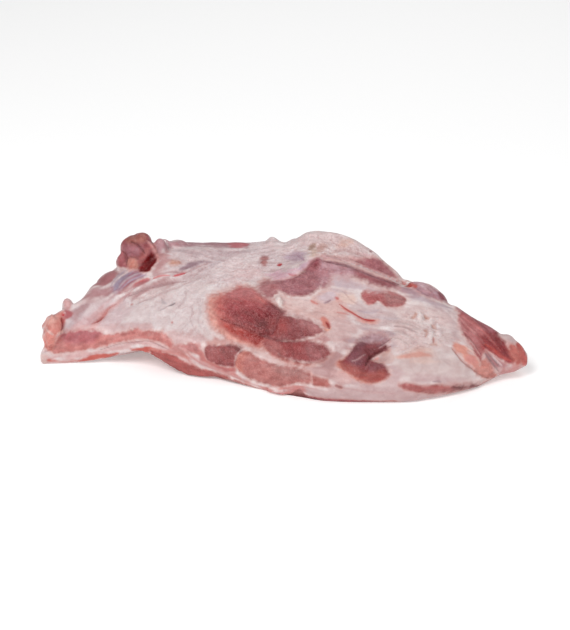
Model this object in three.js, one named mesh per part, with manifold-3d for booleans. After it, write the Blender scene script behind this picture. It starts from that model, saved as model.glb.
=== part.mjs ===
// A raw pork jowl, trimmed of its rind and lying meat side up.
// Millimetres, +Z up, +X along the cut from the flap to the pointed tip, -Y towards the trimmed front edge.
// The origin is on the table, under the middle of the piece.
// The body is a loft: a closed cylinder bent to cross-sections that are given every few centimetres along the cut.
// Swells and furrows of muscle and fat are worked into its upper face, hollows into its underside,
// and the rounded lumps on its rim, such as the gland and the curled end of the flap, are fused on.

import * as THREE from "three";
import { mergeVertices } from "three/addons/utils/BufferGeometryUtils.js";
import Module from "manifold-3d";

const wasm = await Module();
wasm.setup();

// Driving dimensions
const STATIONS = 76;
const UPPER_STEPS = 38;
const LOWER_STEPS = 12;
const UPPER_ROUNDING = { front: 8, back: 20 };
const LOWER_ROUNDING = { front: 3, back: 10 };
const WAIST_SHARE = 0.45;
const TOUCHING_DEPTH = 1.5;
const LUMP_DETAIL = 2;

// Cross-sections from the flap to the tip:
// at is the place along X, front and back the two edges in Y, lip the height of the trimmed front face,
// crest the share of the width where the section is highest, top the height there, heel the height of the back edge.
const SECTIONS = [
  { at: -170, front: -29, back: -12, lip: 18, crest: 0.6, top: 26, heel: 20 },
  { at: -160, front: -28, back: -2, lip: 22, crest: 0.6, top: 33, heel: 24 },
  { at: -142, front: -27, back: 20, lip: 22, crest: 0.65, top: 38, heel: 26 },
  { at: -121, front: -28, back: 64, lip: 24, crest: 0.7, top: 46, heel: 28 },
  { at: -94, front: -38, back: 80, lip: 28, crest: 0.78, top: 55, heel: 32 },
  { at: -59, front: -50, back: 84, lip: 24, crest: 0.8, top: 56, heel: 34 },
  { at: -20, front: -66, back: 84, lip: 20, crest: 0.78, top: 56, heel: 34 },
  { at: 25, front: -84, back: 79, lip: 18, crest: 0.7, top: 59, heel: 34 },
  { at: 61, front: -86, back: 60, lip: 18, crest: 0.74, top: 56, heel: 32 },
  { at: 89, front: -85, back: 31, lip: 18, crest: 0.8, top: 48, heel: 28 },
  { at: 114, front: -76, back: 12, lip: 17, crest: 0.84, top: 40, heel: 24 },
  { at: 131, front: -65, back: -4, lip: 17, crest: 0.84, top: 33, heel: 20 },
  { at: 150, front: -54, back: -22, lip: 18, crest: 0.8, top: 29, heel: 18 },
  { at: 161, front: -52, back: -32, lip: 16, crest: 0.7, top: 23, heel: 16 },
  { at: 166, front: -48, back: -39, lip: 13, crest: 0.6, top: 15, heel: 12 },
];
const MEASURES = ["front", "back", "lip", "crest", "top", "heel"];

// Swells (positive rise) and furrows (negative) of the upper face: centre, half length, half width, turn in degrees.
const SWELLS = [
  { name: "back_hump", x: 33, y: 48, length: 40, width: 20, turn: -14, rise: 16 },
  { name: "valley_behind_crest", x: 58, y: 17, length: 40, width: 8, turn: -22, rise: -6 },
  { name: "crest_ridge", x: 52, y: 2, length: 42, width: 10, turn: -20, rise: 4 },
  { name: "crest_corner", x: 21, y: 16, length: 12, width: 8, turn: 0, rise: 4 },
  { name: "upper_muscle", x: 4, y: 1, length: 24, width: 10, turn: 32, rise: 5 },
  { name: "cheek_muscle", x: -26, y: -26, length: 25, width: 16, turn: -12, rise: 9 },
  { name: "second_lobe", x: 10, y: -43, length: 18, width: 7, turn: -4, rise: 5 },
  { name: "third_lobe", x: 11, y: -60, length: 24, width: 7, turn: -6, rise: 5 },
  { name: "front_band", x: -2, y: -72, length: 34, width: 7, turn: -10, rise: 2 },
  { name: "crescent_muscle", x: 46, y: -63, length: 16, width: 10, turn: -40, rise: 4 },
  { name: "crescent_pit", x: 60, y: -66, length: 9, width: 6, turn: -30, rise: -8 },
  { name: "right_mound", x: 88, y: -60, length: 26, width: 14, turn: 10, rise: 4 },
  { name: "hollow_above_mound", x: 96, y: -36, length: 22, width: 9, turn: 12, rise: -3 },
  { name: "membrane_fold", x: -84, y: 30, length: 36, width: 11, turn: 30, rise: 4 },
  { name: "fold_furrow", x: -80, y: 12, length: 32, width: 8, turn: 30, rise: -4 },
  { name: "flap_slit", x: -126, y: -9, length: 13, width: 4, turn: 32, rise: -2.5 },
];

// Hollows under the piece, where the flap arches and the tip curls off the table.
const HOLLOWS = [
  { name: "flap_arch", x: -100, y: -40, length: 23, width: 30, turn: 0, rise: 15 },
  { name: "tip_curl", x: 176, y: -48, length: 34, width: 60, turn: 0, rise: 9 },
];

// Rounded lumps on the rim: centre, half sizes along X, Y and Z, and lean in degrees about Y.
const LUMPS = [
  { name: "gland_core", centre: [-104, 37, 56], half: [13, 12, 13], lean: 0 },
  { name: "gland_shoulder", centre: [-109, 37, 61], half: [9, 9, 9], lean: 0 },
  { name: "gland_crown", centre: [-102, 39, 65], half: [7, 8, 7], lean: 20 },
  { name: "gland_left_lobe", centre: [-115, 34, 51], half: [6, 7, 7], lean: 0 },
  { name: "gland_lower_lobe", centre: [-107, 30, 49], half: [9, 8, 7], lean: 15 },
  { name: "gland_membrane", centre: [-92, 40, 54], half: [6, 8, 12], lean: 30 },
  { name: "rim_nodule", centre: [-88, 50, 55.5], half: [7, 8, 7], lean: 0 },
  { name: "rim_ridge", centre: [-78, 53, 54.5], half: [9, 9, 6], lean: 8 },
  { name: "back_nodule", centre: [-8, 55, 56], half: [6, 7, 7], lean: -15 },
  { name: "shoulder_lump", centre: [-125, 27, 39], half: [11, 11, 7], lean: -30 },
  { name: "end_nodule", centre: [-153, -3, 33], half: [4, 5, 7], lean: -15 },
  { name: "flap_curl", centre: [-160, -20, 23], half: [8, 12, 11], lean: 12 },
  { name: "right_lump", centre: [99, 0, 41], half: [17, 12, 7], lean: 24 },
  { name: "tip_cap", centre: [150, -37, 24], half: [9, 8, 5], lean: 18 },
];

const sectionCurve = new THREE.CubicInterpolant(
  SECTIONS.map((section) => section.at),
  SECTIONS.flatMap((section) => MEASURES.map((measure) => section[measure])),
  MEASURES.length,
);

function sectionAt(x) {
  const values = sectionCurve.evaluate(x);
  return Object.fromEntries(MEASURES.map((measure, i) => [measure, values[i]]));
}

// One rounded swell, felt fully at its centre and fading out past its half length and half width.
function swellAt({ x: cx, y: cy, length, width, turn, rise }, x, y) {
  const angle = THREE.MathUtils.degToRad(turn);
  const along = ((x - cx) * Math.cos(angle) + (y - cy) * Math.sin(angle)) / length;
  const aside = ((y - cy) * Math.cos(angle) - (x - cx) * Math.sin(angle)) / width;
  return rise * Math.exp(-(along * along + aside * aside));
}

function reliefAt(swells, x, y) {
  return swells.reduce((sum, swell) => sum + swellAt(swell, x, y), 0);
}

// How much of the full height is reached at a distance in from an edge that is rounded over a given reach.
function roundedEdge(distance, reach) {
  const gap = 1 - Math.min(distance / reach, 1);
  return Math.sqrt(1 - gap * gap);
}

function upperHeight(section, share, x, y) {
  const { lip, crest, top, heel } = section;
  const rising = share < crest;
  const edge = rising ? lip : heel;
  const way = rising ? share / crest : (1 - share) / (1 - crest);
  return edge + (top - edge) * Math.sin((Math.PI / 2) * way) + reliefAt(SWELLS, x, y);
}

function lowerHeight(x, y) {
  return Math.max(0, reliefAt(HOLLOWS, x, y) - TOUCHING_DEPTH);
}

// The point of a section's outline at a turn from 0 to 1: over the top from front to back, then home underneath.
function outlinePoint(x, turn) {
  const section = sectionAt(x);
  const width = section.back - section.front;
  const upperShare = UPPER_STEPS / (UPPER_STEPS + LOWER_STEPS);
  const above = turn < upperShare;
  const progress = above ? turn / upperShare : (1 - turn) / (1 - upperShare);
  const share = (1 - Math.cos(Math.PI * progress)) / 2;
  const y = section.front + width * share;
  const rounding = above ? UPPER_ROUNDING : LOWER_ROUNDING;
  const reach = Math.min(width / 2, share < 0.5 ? rounding.front : rounding.back);
  const fullness = roundedEdge(Math.min(share, 1 - share) * width, reach);
  const under = lowerHeight(x, y);
  const edgeHeight = THREE.MathUtils.lerp(section.lip, section.heel, share);
  const waist = THREE.MathUtils.lerp(under, edgeHeight, WAIST_SHARE);
  const face = above ? upperHeight(section, share, x, y) : under;
  return new THREE.Vector3(x, y, THREE.MathUtils.lerp(waist, face, fullness));
}

// A cylinder laid along X, each vertex carried to the section outline at its station and turn.
function loftedBody() {
  const around = UPPER_STEPS + LOWER_STEPS;
  const geometry = new THREE.CylinderGeometry(1, 1, 2, around, STATIONS);
  const position = geometry.getAttribute("position");
  const vertex = new THREE.Vector3();
  for (let i = 0; i < position.count; i++) {
    vertex.fromBufferAttribute(position, i);
    const x = THREE.MathUtils.mapLinear(vertex.y, 1, -1, SECTIONS[0].at, SECTIONS.at(-1).at);
    const turns = Math.atan2(vertex.x, vertex.z) / (2 * Math.PI);
    const turn = (Math.round((turns + 1) * around) % around) / around;
    const section = sectionAt(x);
    const middle = new THREE.Vector3(x, (section.front + section.back) / 2, section.lip / 2);
    const radius = Math.hypot(vertex.x, vertex.z);
    vertex.lerpVectors(middle, outlinePoint(x, turn), radius);
    position.setXYZ(i, vertex.x, vertex.y, vertex.z);
  }
  return geometry;
}

function lumpGeometry({ centre, half, lean }) {
  return new THREE.IcosahedronGeometry(1, LUMP_DETAIL)
    .scale(...half)
    .rotateY(THREE.MathUtils.degToRad(lean))
    .translate(...centre);
}

function solidOf(geometry) {
  geometry.deleteAttribute("normal");
  geometry.deleteAttribute("uv");
  const merged = mergeVertices(geometry, 1e-4);
  return new wasm.Manifold(
    new wasm.Mesh({
      numProp: 3,
      vertProperties: new Float32Array(merged.getAttribute("position").array),
      triVerts: new Uint32Array(merged.index.array),
    }),
  );
}

function geometryOf(solid) {
  const { vertProperties, triVerts } = solid.getMesh();
  const geometry = new THREE.BufferGeometry();
  geometry.setAttribute("position", new THREE.BufferAttribute(vertProperties, 3));
  geometry.setIndex(new THREE.BufferAttribute(triVerts, 1));
  geometry.computeVertexNormals();
  geometry.computeBoundingBox();
  return geometry;
}

const fused = LUMPS.reduce((solid, lump) => solid.add(solidOf(lumpGeometry(lump))), solidOf(loftedBody()));

const flesh = new THREE.MeshStandardMaterial({ color: 0xd6b4b0, roughness: 0.45, metalness: 0 });
const jowl = new THREE.Mesh(geometryOf(fused), flesh);
jowl.name = "jowl";
const middle = jowl.geometry.boundingBox.getCenter(new THREE.Vector3());
jowl.position.set(-middle.x, -middle.y, 0);

const part = new THREE.Group();
part.add(jowl);

export default part;
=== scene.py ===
# %% [markdown]
# # A raw pork jowl
# A jowl is the cheek of a pig: a slab of firm white fat with thin muscles of lean running through it. This
# one has had its rind taken off and lies meat side up, so most of what shows is fat, membrane and cut
# muscle. The lesson dresses a solid of the right form: it makes a fine skin over it, presses folds and
# muscles into the skin, and paints where fat, lean, membrane and gland lie, so that one material can show
# them all.

# %% Load the solid as a fixed frame
import math

import bmesh
import bpy
import numpy as np
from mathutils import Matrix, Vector, noise
from mathutils.bvhtree import BVHTree


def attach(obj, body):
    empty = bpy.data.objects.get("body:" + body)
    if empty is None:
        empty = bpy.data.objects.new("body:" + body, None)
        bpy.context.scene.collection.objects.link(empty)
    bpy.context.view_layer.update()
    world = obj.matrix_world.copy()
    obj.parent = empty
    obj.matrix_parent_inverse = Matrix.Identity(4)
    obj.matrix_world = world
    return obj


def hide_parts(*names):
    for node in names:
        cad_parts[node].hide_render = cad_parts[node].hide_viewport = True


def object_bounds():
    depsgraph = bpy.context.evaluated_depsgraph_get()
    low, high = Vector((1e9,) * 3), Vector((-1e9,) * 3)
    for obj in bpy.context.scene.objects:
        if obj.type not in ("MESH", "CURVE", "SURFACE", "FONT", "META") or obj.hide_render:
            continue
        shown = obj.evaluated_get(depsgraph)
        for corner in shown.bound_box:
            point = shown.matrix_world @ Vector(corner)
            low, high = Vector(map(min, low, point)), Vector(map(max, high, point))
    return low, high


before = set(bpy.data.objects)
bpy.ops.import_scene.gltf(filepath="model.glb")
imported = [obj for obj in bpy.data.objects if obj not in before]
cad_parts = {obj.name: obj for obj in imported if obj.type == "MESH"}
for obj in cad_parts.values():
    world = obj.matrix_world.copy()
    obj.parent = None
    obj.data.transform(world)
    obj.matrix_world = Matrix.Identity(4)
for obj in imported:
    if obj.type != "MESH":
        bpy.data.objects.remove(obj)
cad_box = [list(corner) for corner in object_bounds()]
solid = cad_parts["jowl"]
MM = 0.001
print("solid", len(solid.data.polygons), "triangles, box", cad_box)

# %% [markdown]
# ## The camera
# The photograph looks down on the jowl at about 25 degrees through a long lens, square to its length. The
# camera comes first here, because the same lens is used below to find the place on the meat that belongs to
# a spot in the picture. A pinhole formula does that: it needs the lens, the distance and the picture's
# size.

# %% Set up the photograph's camera
PICTURE = (570, 630)
LENS_MM = 100
SENSOR_MM = 36
LOOK_DOWN = math.radians(25)
DISTANCE_MM = 1232
AIM_MM = np.array((2.0, 0.84, 25.7))
PIXELS_FOCAL = LENS_MM / SENSOR_MM * max(PICTURE)

ahead = np.array((0, math.cos(LOOK_DOWN), -math.sin(LOOK_DOWN)))
upward = np.array((0, math.sin(LOOK_DOWN), math.cos(LOOK_DOWN)))
eye = AIM_MM - ahead * DISTANCE_MM

camera_data = bpy.data.cameras.new("photo_camera")
camera_data.lens = LENS_MM
camera_data.sensor_width = SENSOR_MM
camera = bpy.data.objects.new("photo_camera", camera_data)
camera.location = eye * MM
camera.rotation_euler = (math.pi / 2 - LOOK_DOWN, 0, 0)
bpy.context.scene.collection.objects.link(camera)
bpy.context.scene.camera = camera
print("camera", [round(v, 3) for v in camera.location], "focal length", PIXELS_FOCAL, "pixels")


def seen_at(points):
    """The picture's pixel for each point, in millimetres, and how far the point is from the eye."""
    offset = points - eye
    depth = offset @ ahead
    across = PICTURE[0] / 2 + PIXELS_FOCAL * offset[:, 0] / depth
    down = PICTURE[1] / 2 - PIXELS_FOCAL * (offset @ upward) / depth
    return np.stack((across, down), 1), depth


def ray_through(pixel):
    """The direction from the eye through a pixel of the picture."""
    across = (pixel[0] - PICTURE[0] / 2) / PIXELS_FOCAL
    down = (pixel[1] - PICTURE[1] / 2) / PIXELS_FOCAL
    return Vector(ahead + np.array((across, 0, 0)) - upward * down).normalized()


# %% [markdown]
# ## A fine skin over the solid
# The solid has facets a few millimetres wide, too coarse for wrinkles. Subdividing would keep the facets'
# pattern, so the copy is remeshed in small cubes instead, which also fuses the loose bits of fat and gland
# that are set on it first. Some rounds of smoothing then take off the cubes' steps and round the joins, as
# soft meat has no sharp corners.

# %% Copy the solid and set small bits of fat and gland on it
# Each bit: its pixel in the picture, its half sizes and how deep it sinks in, both in millimetres
LOOSE_BITS = {
    "gland_top": ((141, 238), (3, 3, 2.5), 1.6),
    "gland_front": ((129, 244), (5, 4, 5), 3.4),
    "gland_low": ((133, 264), (4, 3.5, 3), 1.8),
    "gland_left": ((121, 259), (3.4, 3.5, 4.8), 1.5),
    "rim_bead": ((160, 243), (4.5, 4, 4.5), 0.8),
    "rim_bead_low": ((154, 250), (3, 3, 4), 1.5),
    "rim_bead_far": ((174, 244), (4.5, 3, 2.5), 1),
    "knot": ((264, 262), (3, 3, 3), 1.2),
    "end_bead": ((68.5, 306), (2.6, 3, 3.6), 2),
    "flake_one": ((420, 315.5), (2.6, 4, 1.8), 0.6),
    "flake_two": ((431, 320), (2.2, 4, 1.8), 0.7),
    "flake_three": ((438, 331), (2, 5, 1.8), 0.7),
    "flake_four": ((430, 333), (2.4, 5, 1.8), 0.6),
    "crest_bead": ((271, 243), (3, 2.5, 2.5), 0.6),
    "torn_shred": ((278, 300), (2.2, 4, 2.5), 0.8),
    "tip_tag": ((493, 331), (1.6, 1.6, 2), 0.4),
}
MERGE_MM = 0.01

flesh_bmesh = bmesh.new()
flesh_bmesh.from_mesh(solid.data)
bmesh.ops.remove_doubles(flesh_bmesh, verts=flesh_bmesh.verts, dist=MERGE_MM * MM)
surface = BVHTree.FromBMesh(flesh_bmesh)


def spot_under(pixel):
    """The point of the solid that a pixel of the picture shows, and the normal there."""
    spot, normal, _, _ = surface.ray_cast(Vector(eye * MM), ray_through(pixel))
    return spot, normal


for pixel, half_mm, sink_mm in LOOSE_BITS.values():
    spot, normal = spot_under(pixel)
    bit = bmesh.ops.create_icosphere(flesh_bmesh, subdivisions=2, radius=MM)["verts"]
    bmesh.ops.scale(flesh_bmesh, vec=half_mm, verts=bit)
    bmesh.ops.translate(flesh_bmesh, vec=spot - normal * sink_mm * MM, verts=bit)
print("copied", len(flesh_bmesh.verts), "vertices with", len(LOOSE_BITS), "loose bits")

# %% Remesh it finely and round it
CUBE_MM = 0.95
ROUNDING_ROUNDS = 5

rough_mesh = bpy.data.meshes.new("rough_flesh")
flesh_bmesh.to_mesh(rough_mesh)
flesh_bmesh.free()
rough = bpy.data.objects.new("rough_flesh", rough_mesh)
bpy.context.scene.collection.objects.link(rough)
remesh = rough.modifiers.new("fine_skin", "REMESH")
remesh.mode = "VOXEL"
remesh.voxel_size = CUBE_MM * MM
skin_mesh = bpy.data.meshes.new_from_object(rough.evaluated_get(bpy.context.evaluated_depsgraph_get()))

skin_bmesh = bmesh.new()
skin_bmesh.from_mesh(skin_mesh)
for _ in range(ROUNDING_ROUNDS):
    bmesh.ops.smooth_vert(
        skin_bmesh, verts=skin_bmesh.verts, factor=0.5, use_axis_x=True, use_axis_y=True, use_axis_z=True
    )
skin_bmesh.to_mesh(skin_mesh)
skin_bmesh.free()
print("fine skin", len(skin_mesh.vertices), "vertices", len(skin_mesh.polygons), "faces")

# %% [markdown]
# The underside rests on the table and never shows wrinkles, so its faces are thinned out there by a
# decimate modifier that is held to a vertex group. That leaves the fine faces for the sides that are looked
# at.

# %% Thin out the underside
DOWNWARD = -0.5
KEPT_SHARE = 0.6

rough.modifiers.clear()
rough.data = skin_mesh
underside = rough.vertex_groups.new(name="underside")
underside.add([v.index for v in skin_mesh.vertices if v.normal.z < DOWNWARD], 1, "REPLACE")
thin = rough.modifiers.new("thin_underside", "DECIMATE")
thin.ratio = KEPT_SHARE
thin.vertex_group = underside.name
flesh_mesh = bpy.data.meshes.new_from_object(rough.evaluated_get(bpy.context.evaluated_depsgraph_get()))
flesh_mesh.name = "jowl_flesh"
bpy.data.objects.remove(rough)
flesh_mesh.shade_smooth()
triangles = sum(len(face.vertices) - 2 for face in flesh_mesh.polygons)
print("thinned to", len(flesh_mesh.vertices), "vertices", triangles, "triangles")

# %% [markdown]
# ## Where each point of the skin lies
# Muscles and folds are given by their outlines in the picture, so every vertex needs its own place there. A
# vertex counts as seen when it faces the camera and nothing nearer covers the same small cell of the
# picture. First the skin's outline is nudged where the real one has a small dip or corner that the solid
# hasn't.

# %% Read the skin's vertices
count = len(flesh_mesh.vertices)
places = np.empty(count * 3, np.float32)
flesh_mesh.vertices.foreach_get("co", places)
places = places.reshape(-1, 3).astype(float) / MM
normals = np.empty(count * 3, np.float32)
flesh_mesh.vertex_normals.foreach_get("vector", normals)
normals = normals.reshape(-1, 3).astype(float)
print("read", count, "vertices and their normals")

# %% Nudge the outline
# Each nudge: its pixel, how far it moves the skin across and down, and its reach, all in pixels
NUDGES = {
    "left_waist": ((40, 344), (4.5, 0), 7),
    "left_shoulder": ((41, 331), (2.5, 0), 5),
    "curl_corner": ((49, 319), (-1.5, -2), 5),
    "flap_shoulder": ((91, 289), (-1, -2.5), 9),
    "crest_dip": ((286, 236), (0, 5.5), 9),
    "tip_top": ((502, 331), (0, 2.5), 7),
    "tip_under": ((500, 383), (0, -3.5), 12),
    "tip_corner": ((525, 375), (-2, -4), 9),
    "belly_under": ((222, 384), (0, -4.5), 18),
    "front_lump": ((277, 394), (0, 2.5), 7),
    "front_notch": ((299, 398), (0, -7), 6),
    "mound_under": ((436, 401), (0, -2), 24),
    "mound_end": ((458, 395), (0, -2), 10),
    "tip_foot": ((485, 386), (0, -3), 7),
    "bump_side": ((298, 234), (0, 3), 6),
    "hump_foot": ((402, 277), (0, 3), 5),
    "lump_foot": ((450, 301), (0, 3), 6),
    "bead_side": ((63, 302), (2.5, 0), 11),
}

for middle, (across, down), reach in NUDGES.values():
    pixels, depths = seen_at(places)
    pull = np.exp(-((pixels - middle) ** 2).sum(1) / reach**2) * depths / PIXELS_FOCAL
    places[:, 0] += pull * across
    places -= np.outer(pull * down, upward)
print(len(NUDGES), "nudges of the outline")

# %% Find what the picture shows
CELL_PIXELS = 2
COVER_MM = 10
# Cosines between which the skin fades as it turns to the eye, and as it turns to the far side
EYE_FADE = (-0.4, 0.0)
BACK_FADE = (-0.2, 0.3)


def fade(value, low, high):
    """0 below low, 1 above high and a smooth ramp between them."""
    share = np.clip((value - low) / (high - low), 0, 1)
    return share * share * (3 - 2 * share)


pixels, depths = seen_at(places)
cells = np.clip((pixels / CELL_PIXELS).astype(int), 0, max(PICTURE))
nearest = np.full((max(PICTURE) + 1,) * 2, np.inf)
np.minimum.at(nearest, (cells[:, 0], cells[:, 1]), depths)
uncovered = fade(nearest[cells[:, 0], cells[:, 1]] + COVER_MM - depths, 0, COVER_MM / 2)
towards_eye = -(normals * (places - eye)).sum(1) / np.linalg.norm(places - eye, axis=1)
seen = fade(towards_eye, *EYE_FADE) * uncovered
behind = (1 - seen) * fade(normals[:, 1], *BACK_FADE)
print("in the picture", round(float(seen.mean()), 3), "on the far side", round(float(behind.mean()), 3))

# %% [markdown]
# ## Outlines and strokes
# A muscle is a closed outline of a few points, rounded by a Catmull-Rom curve, and a fold or vein is an
# open one. Painting needs the distance of each vertex to such a line: inside an outline it is counted
# positive, so a soft or a crisp edge, a dome or a groove are all simple functions of that one number. A
# little noise makes the edges uneven.

# %% Write the distance helpers
CURVE_STEPS = 6
REACH = 14
# These keep a stroke's width from falling to nothing at its ends
STROKE_END = 0.02
LEAST_WIDTH = 0.05
TINY = 1e-9


def rounded(points, closed):
    """A smooth line through pixels that are written as pairs of across,down."""
    here = np.array([pair.split(",") for pair in points.split()], float)
    last = here[-1]
    if closed:
        before, after, beyond = np.roll(here, 1, 0), np.roll(here, -1, 0), np.roll(here, -2, 0)
    else:
        line = np.vstack((2 * here[0] - here[1], here, 2 * here[-1] - here[-2]))
        before, here, after, beyond = line[:-3], line[1:-2], line[2:-1], line[3:]
    share = np.linspace(0, 1, CURVE_STEPS, endpoint=False)[:, None, None]
    curve = here + (after - before) / 2 * share
    curve = curve + (before - 2.5 * here + 2 * after - beyond / 2) * share**2
    curve = curve + (1.5 * here - before / 2 - 1.5 * after + beyond / 2) * share**3
    line = curve.transpose(1, 0, 2).reshape(-1, 2)
    return line if closed else np.vstack((line, last))


def gaps_to(spots, line, closed):
    """The distance of each spot to a line, and how far along it, from 0 to 1, the nearest point is."""
    start = line if closed else line[:-1]
    end = np.roll(line, -1, 0) if closed else line[1:]
    span = end - start
    offset = spots[:, None] - start
    share = np.clip((offset * span).sum(2) / np.maximum((span * span).sum(1), TINY), 0, 1)
    gap = np.linalg.norm(offset - share[..., None] * span, axis=2)
    best = gap.argmin(1)
    rows = np.arange(len(spots))
    return gap[rows, best], (best + share[rows, best]) / len(start)


def near(spots, line):
    """Which spots are close enough to a line to feel it."""
    return ((spots > line.min(0) - REACH) & (spots < line.max(0) + REACH)).all(1)


def depth_inside(spots, points):
    """How far each spot lies inside a closed outline: negative outside, and -REACH well away from it."""
    line = rounded(points, True)
    depth = np.full(len(spots), -float(REACH))
    close = near(spots, line)
    found = spots[close]
    gap, _ = gaps_to(found, line, True)
    ends = np.roll(line, -1, 0)
    level = (line[:, 1] > found[:, 1:]) != (ends[:, 1] > found[:, 1:])
    rise = np.where(ends[:, 1] == line[:, 1], TINY, ends[:, 1] - line[:, 1])
    crossing = line[:, 0] + (found[:, 1:] - line[:, 1]) / rise * (ends[:, 0] - line[:, 0])
    within = (level & (found[:, :1] < crossing)).sum(1) % 2 == 1
    depth[close] = np.where(within, gap, -gap)
    return depth


def stroke_profile(spots, points, half_width):
    """1 along the middle of a stroke, fading to its sides and thinning towards its ends."""
    line = rounded(points, False)
    profile = np.zeros(len(spots))
    close = near(spots, line)
    gap, along = gaps_to(spots[close], line, False)
    inner = np.clip(along, STROKE_END, 1 - STROKE_END)
    width = half_width * np.sqrt(np.maximum(np.sin(math.pi * inner), LEAST_WIDTH))
    profile[close] = np.exp(-((gap / width) ** 2))
    return profile


print("an outline of 3 pixels becomes a curve of", len(rounded("0,0 9,0 9,9", True)), "points")

# %% Make noise for uneven edges
WAVE_MM = 4
WAVE_PIXELS = 1.2
TEETH_MM = 1.8
TEETH_PIXELS = 0.5


def grain(size_mm, shift=0.0):
    """Smooth noise over the skin, about -1 to 1, with lumps of a given size."""
    spots = places / size_mm + shift
    return np.array([noise.noise(spot) for spot in spots])


wobble = grain(WAVE_MM) * WAVE_PIXELS + grain(TEETH_MM, shift=7) * TEETH_PIXELS
print("edge wobble from", round(wobble.min(), 2), "to", round(wobble.max(), 2), "pixels")

# %% [markdown]
# ## The way the membranes run
# Creases in fat and membrane follow the pull of the tissue: up along the flap, over the crest, round the
# tip. A few guides, each a pair of pixels laid on the solid, give that direction. Noise that is drawn out
# along the guides near each vertex then makes creases that run the right way, and streaks in the tints.

# %% Lay the guides and draw noise along them
GUIDES = {
    "flap": ((70, 336), (115, 300)),
    "folds": ((130, 300), (212, 263)),
    "middle": ((160, 330), (200, 290)),
    "top_plane": ((190, 256), (290, 258)),
    "hump": ((325, 246), (388, 270)),
    "hump_foot": ((332, 276), (395, 291)),
    "tongue": ((288, 304), (345, 313)),
    "right_shreds": ((385, 318), (440, 330)),
    "mound": ((395, 372), (475, 372)),
    "tip_ridge": ((460, 318), (512, 360)),
    "front_edge": ((245, 378), (390, 394)),
    "belly": ((160, 356), (225, 376)),
    "flap_front": ((58, 354), (150, 340)),
    "lump": ((400, 296), (440, 305)),
    "lobes": ((296, 321), (299, 336)),
    "tip": ((470, 322), (508, 352)),
    "cheek": ((222, 300), (262, 326)),
    "small_lean": ((214, 348), (218, 362)),
}
GUIDE_REACH_MM = 14
GUIDE_LEAST = 0.03

guides = []
guide_pull = np.empty((count, len(GUIDES)))
for number, (start, end) in enumerate(GUIDES.values()):
    start, end = (np.array(spot_under(pixel)[0]) / MM for pixel in (start, end))
    length = np.linalg.norm(end - start)
    along = (end - start) / length
    offset = places - start
    share = np.clip(offset @ along, 0, length)
    gap = np.linalg.norm(offset - share[:, None] * along, axis=1)
    guide_pull[:, number] = (gap**2 + GUIDE_REACH_MM**2) ** -2.0
    guides.append((start, along))
guide_pull /= guide_pull.sum(1, keepdims=True)
guide_pull[guide_pull < GUIDE_LEAST] = 0
guide_pull /= np.linalg.norm(guide_pull, axis=1, keepdims=True)


def weave(size_mm, stretch, shift=0.0):
    """Noise with lumps of a given size across the guides, drawn out along them."""
    woven = np.zeros(count)
    for (start, along), pull in zip(guides, guide_pull.T):
        felt = np.nonzero(pull)[0]
        offset = places[felt] - start
        drawn = offset - np.outer(offset @ along, along) * (1 - 1 / stretch)
        woven[felt] += pull[felt] * np.array([noise.noise(spot) for spot in drawn / size_mm + shift])
    return woven


broad_weave = weave(size_mm=6.5, stretch=3)
fine_weave = weave(size_mm=2.4, stretch=4, shift=5)
lean_fibres = weave(size_mm=1.9, stretch=6, shift=61)
streaks = np.clip(0.5 + 1.1 * weave(size_mm=3.5, stretch=7, shift=11), 0, 1)
print(len(GUIDES), "guides, broad weave spread", round(float(broad_weave.std()), 3))

# %% [markdown]
# ## The muscles
# The lean shows where the fat was trimmed away: the big cheek muscle with its lobes, a band that climbs
# over the crest, a crescent round a pit, cut faces along the flap and the tip. Each has an outline in the
# picture's pixels, a tint, a softness for its edge and a rise in millimetres, because muscle swells out of
# the fat round it. Later ones lie over earlier ones, so a muscle can go from an orange film at its edge to
# a dark middle.

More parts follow.
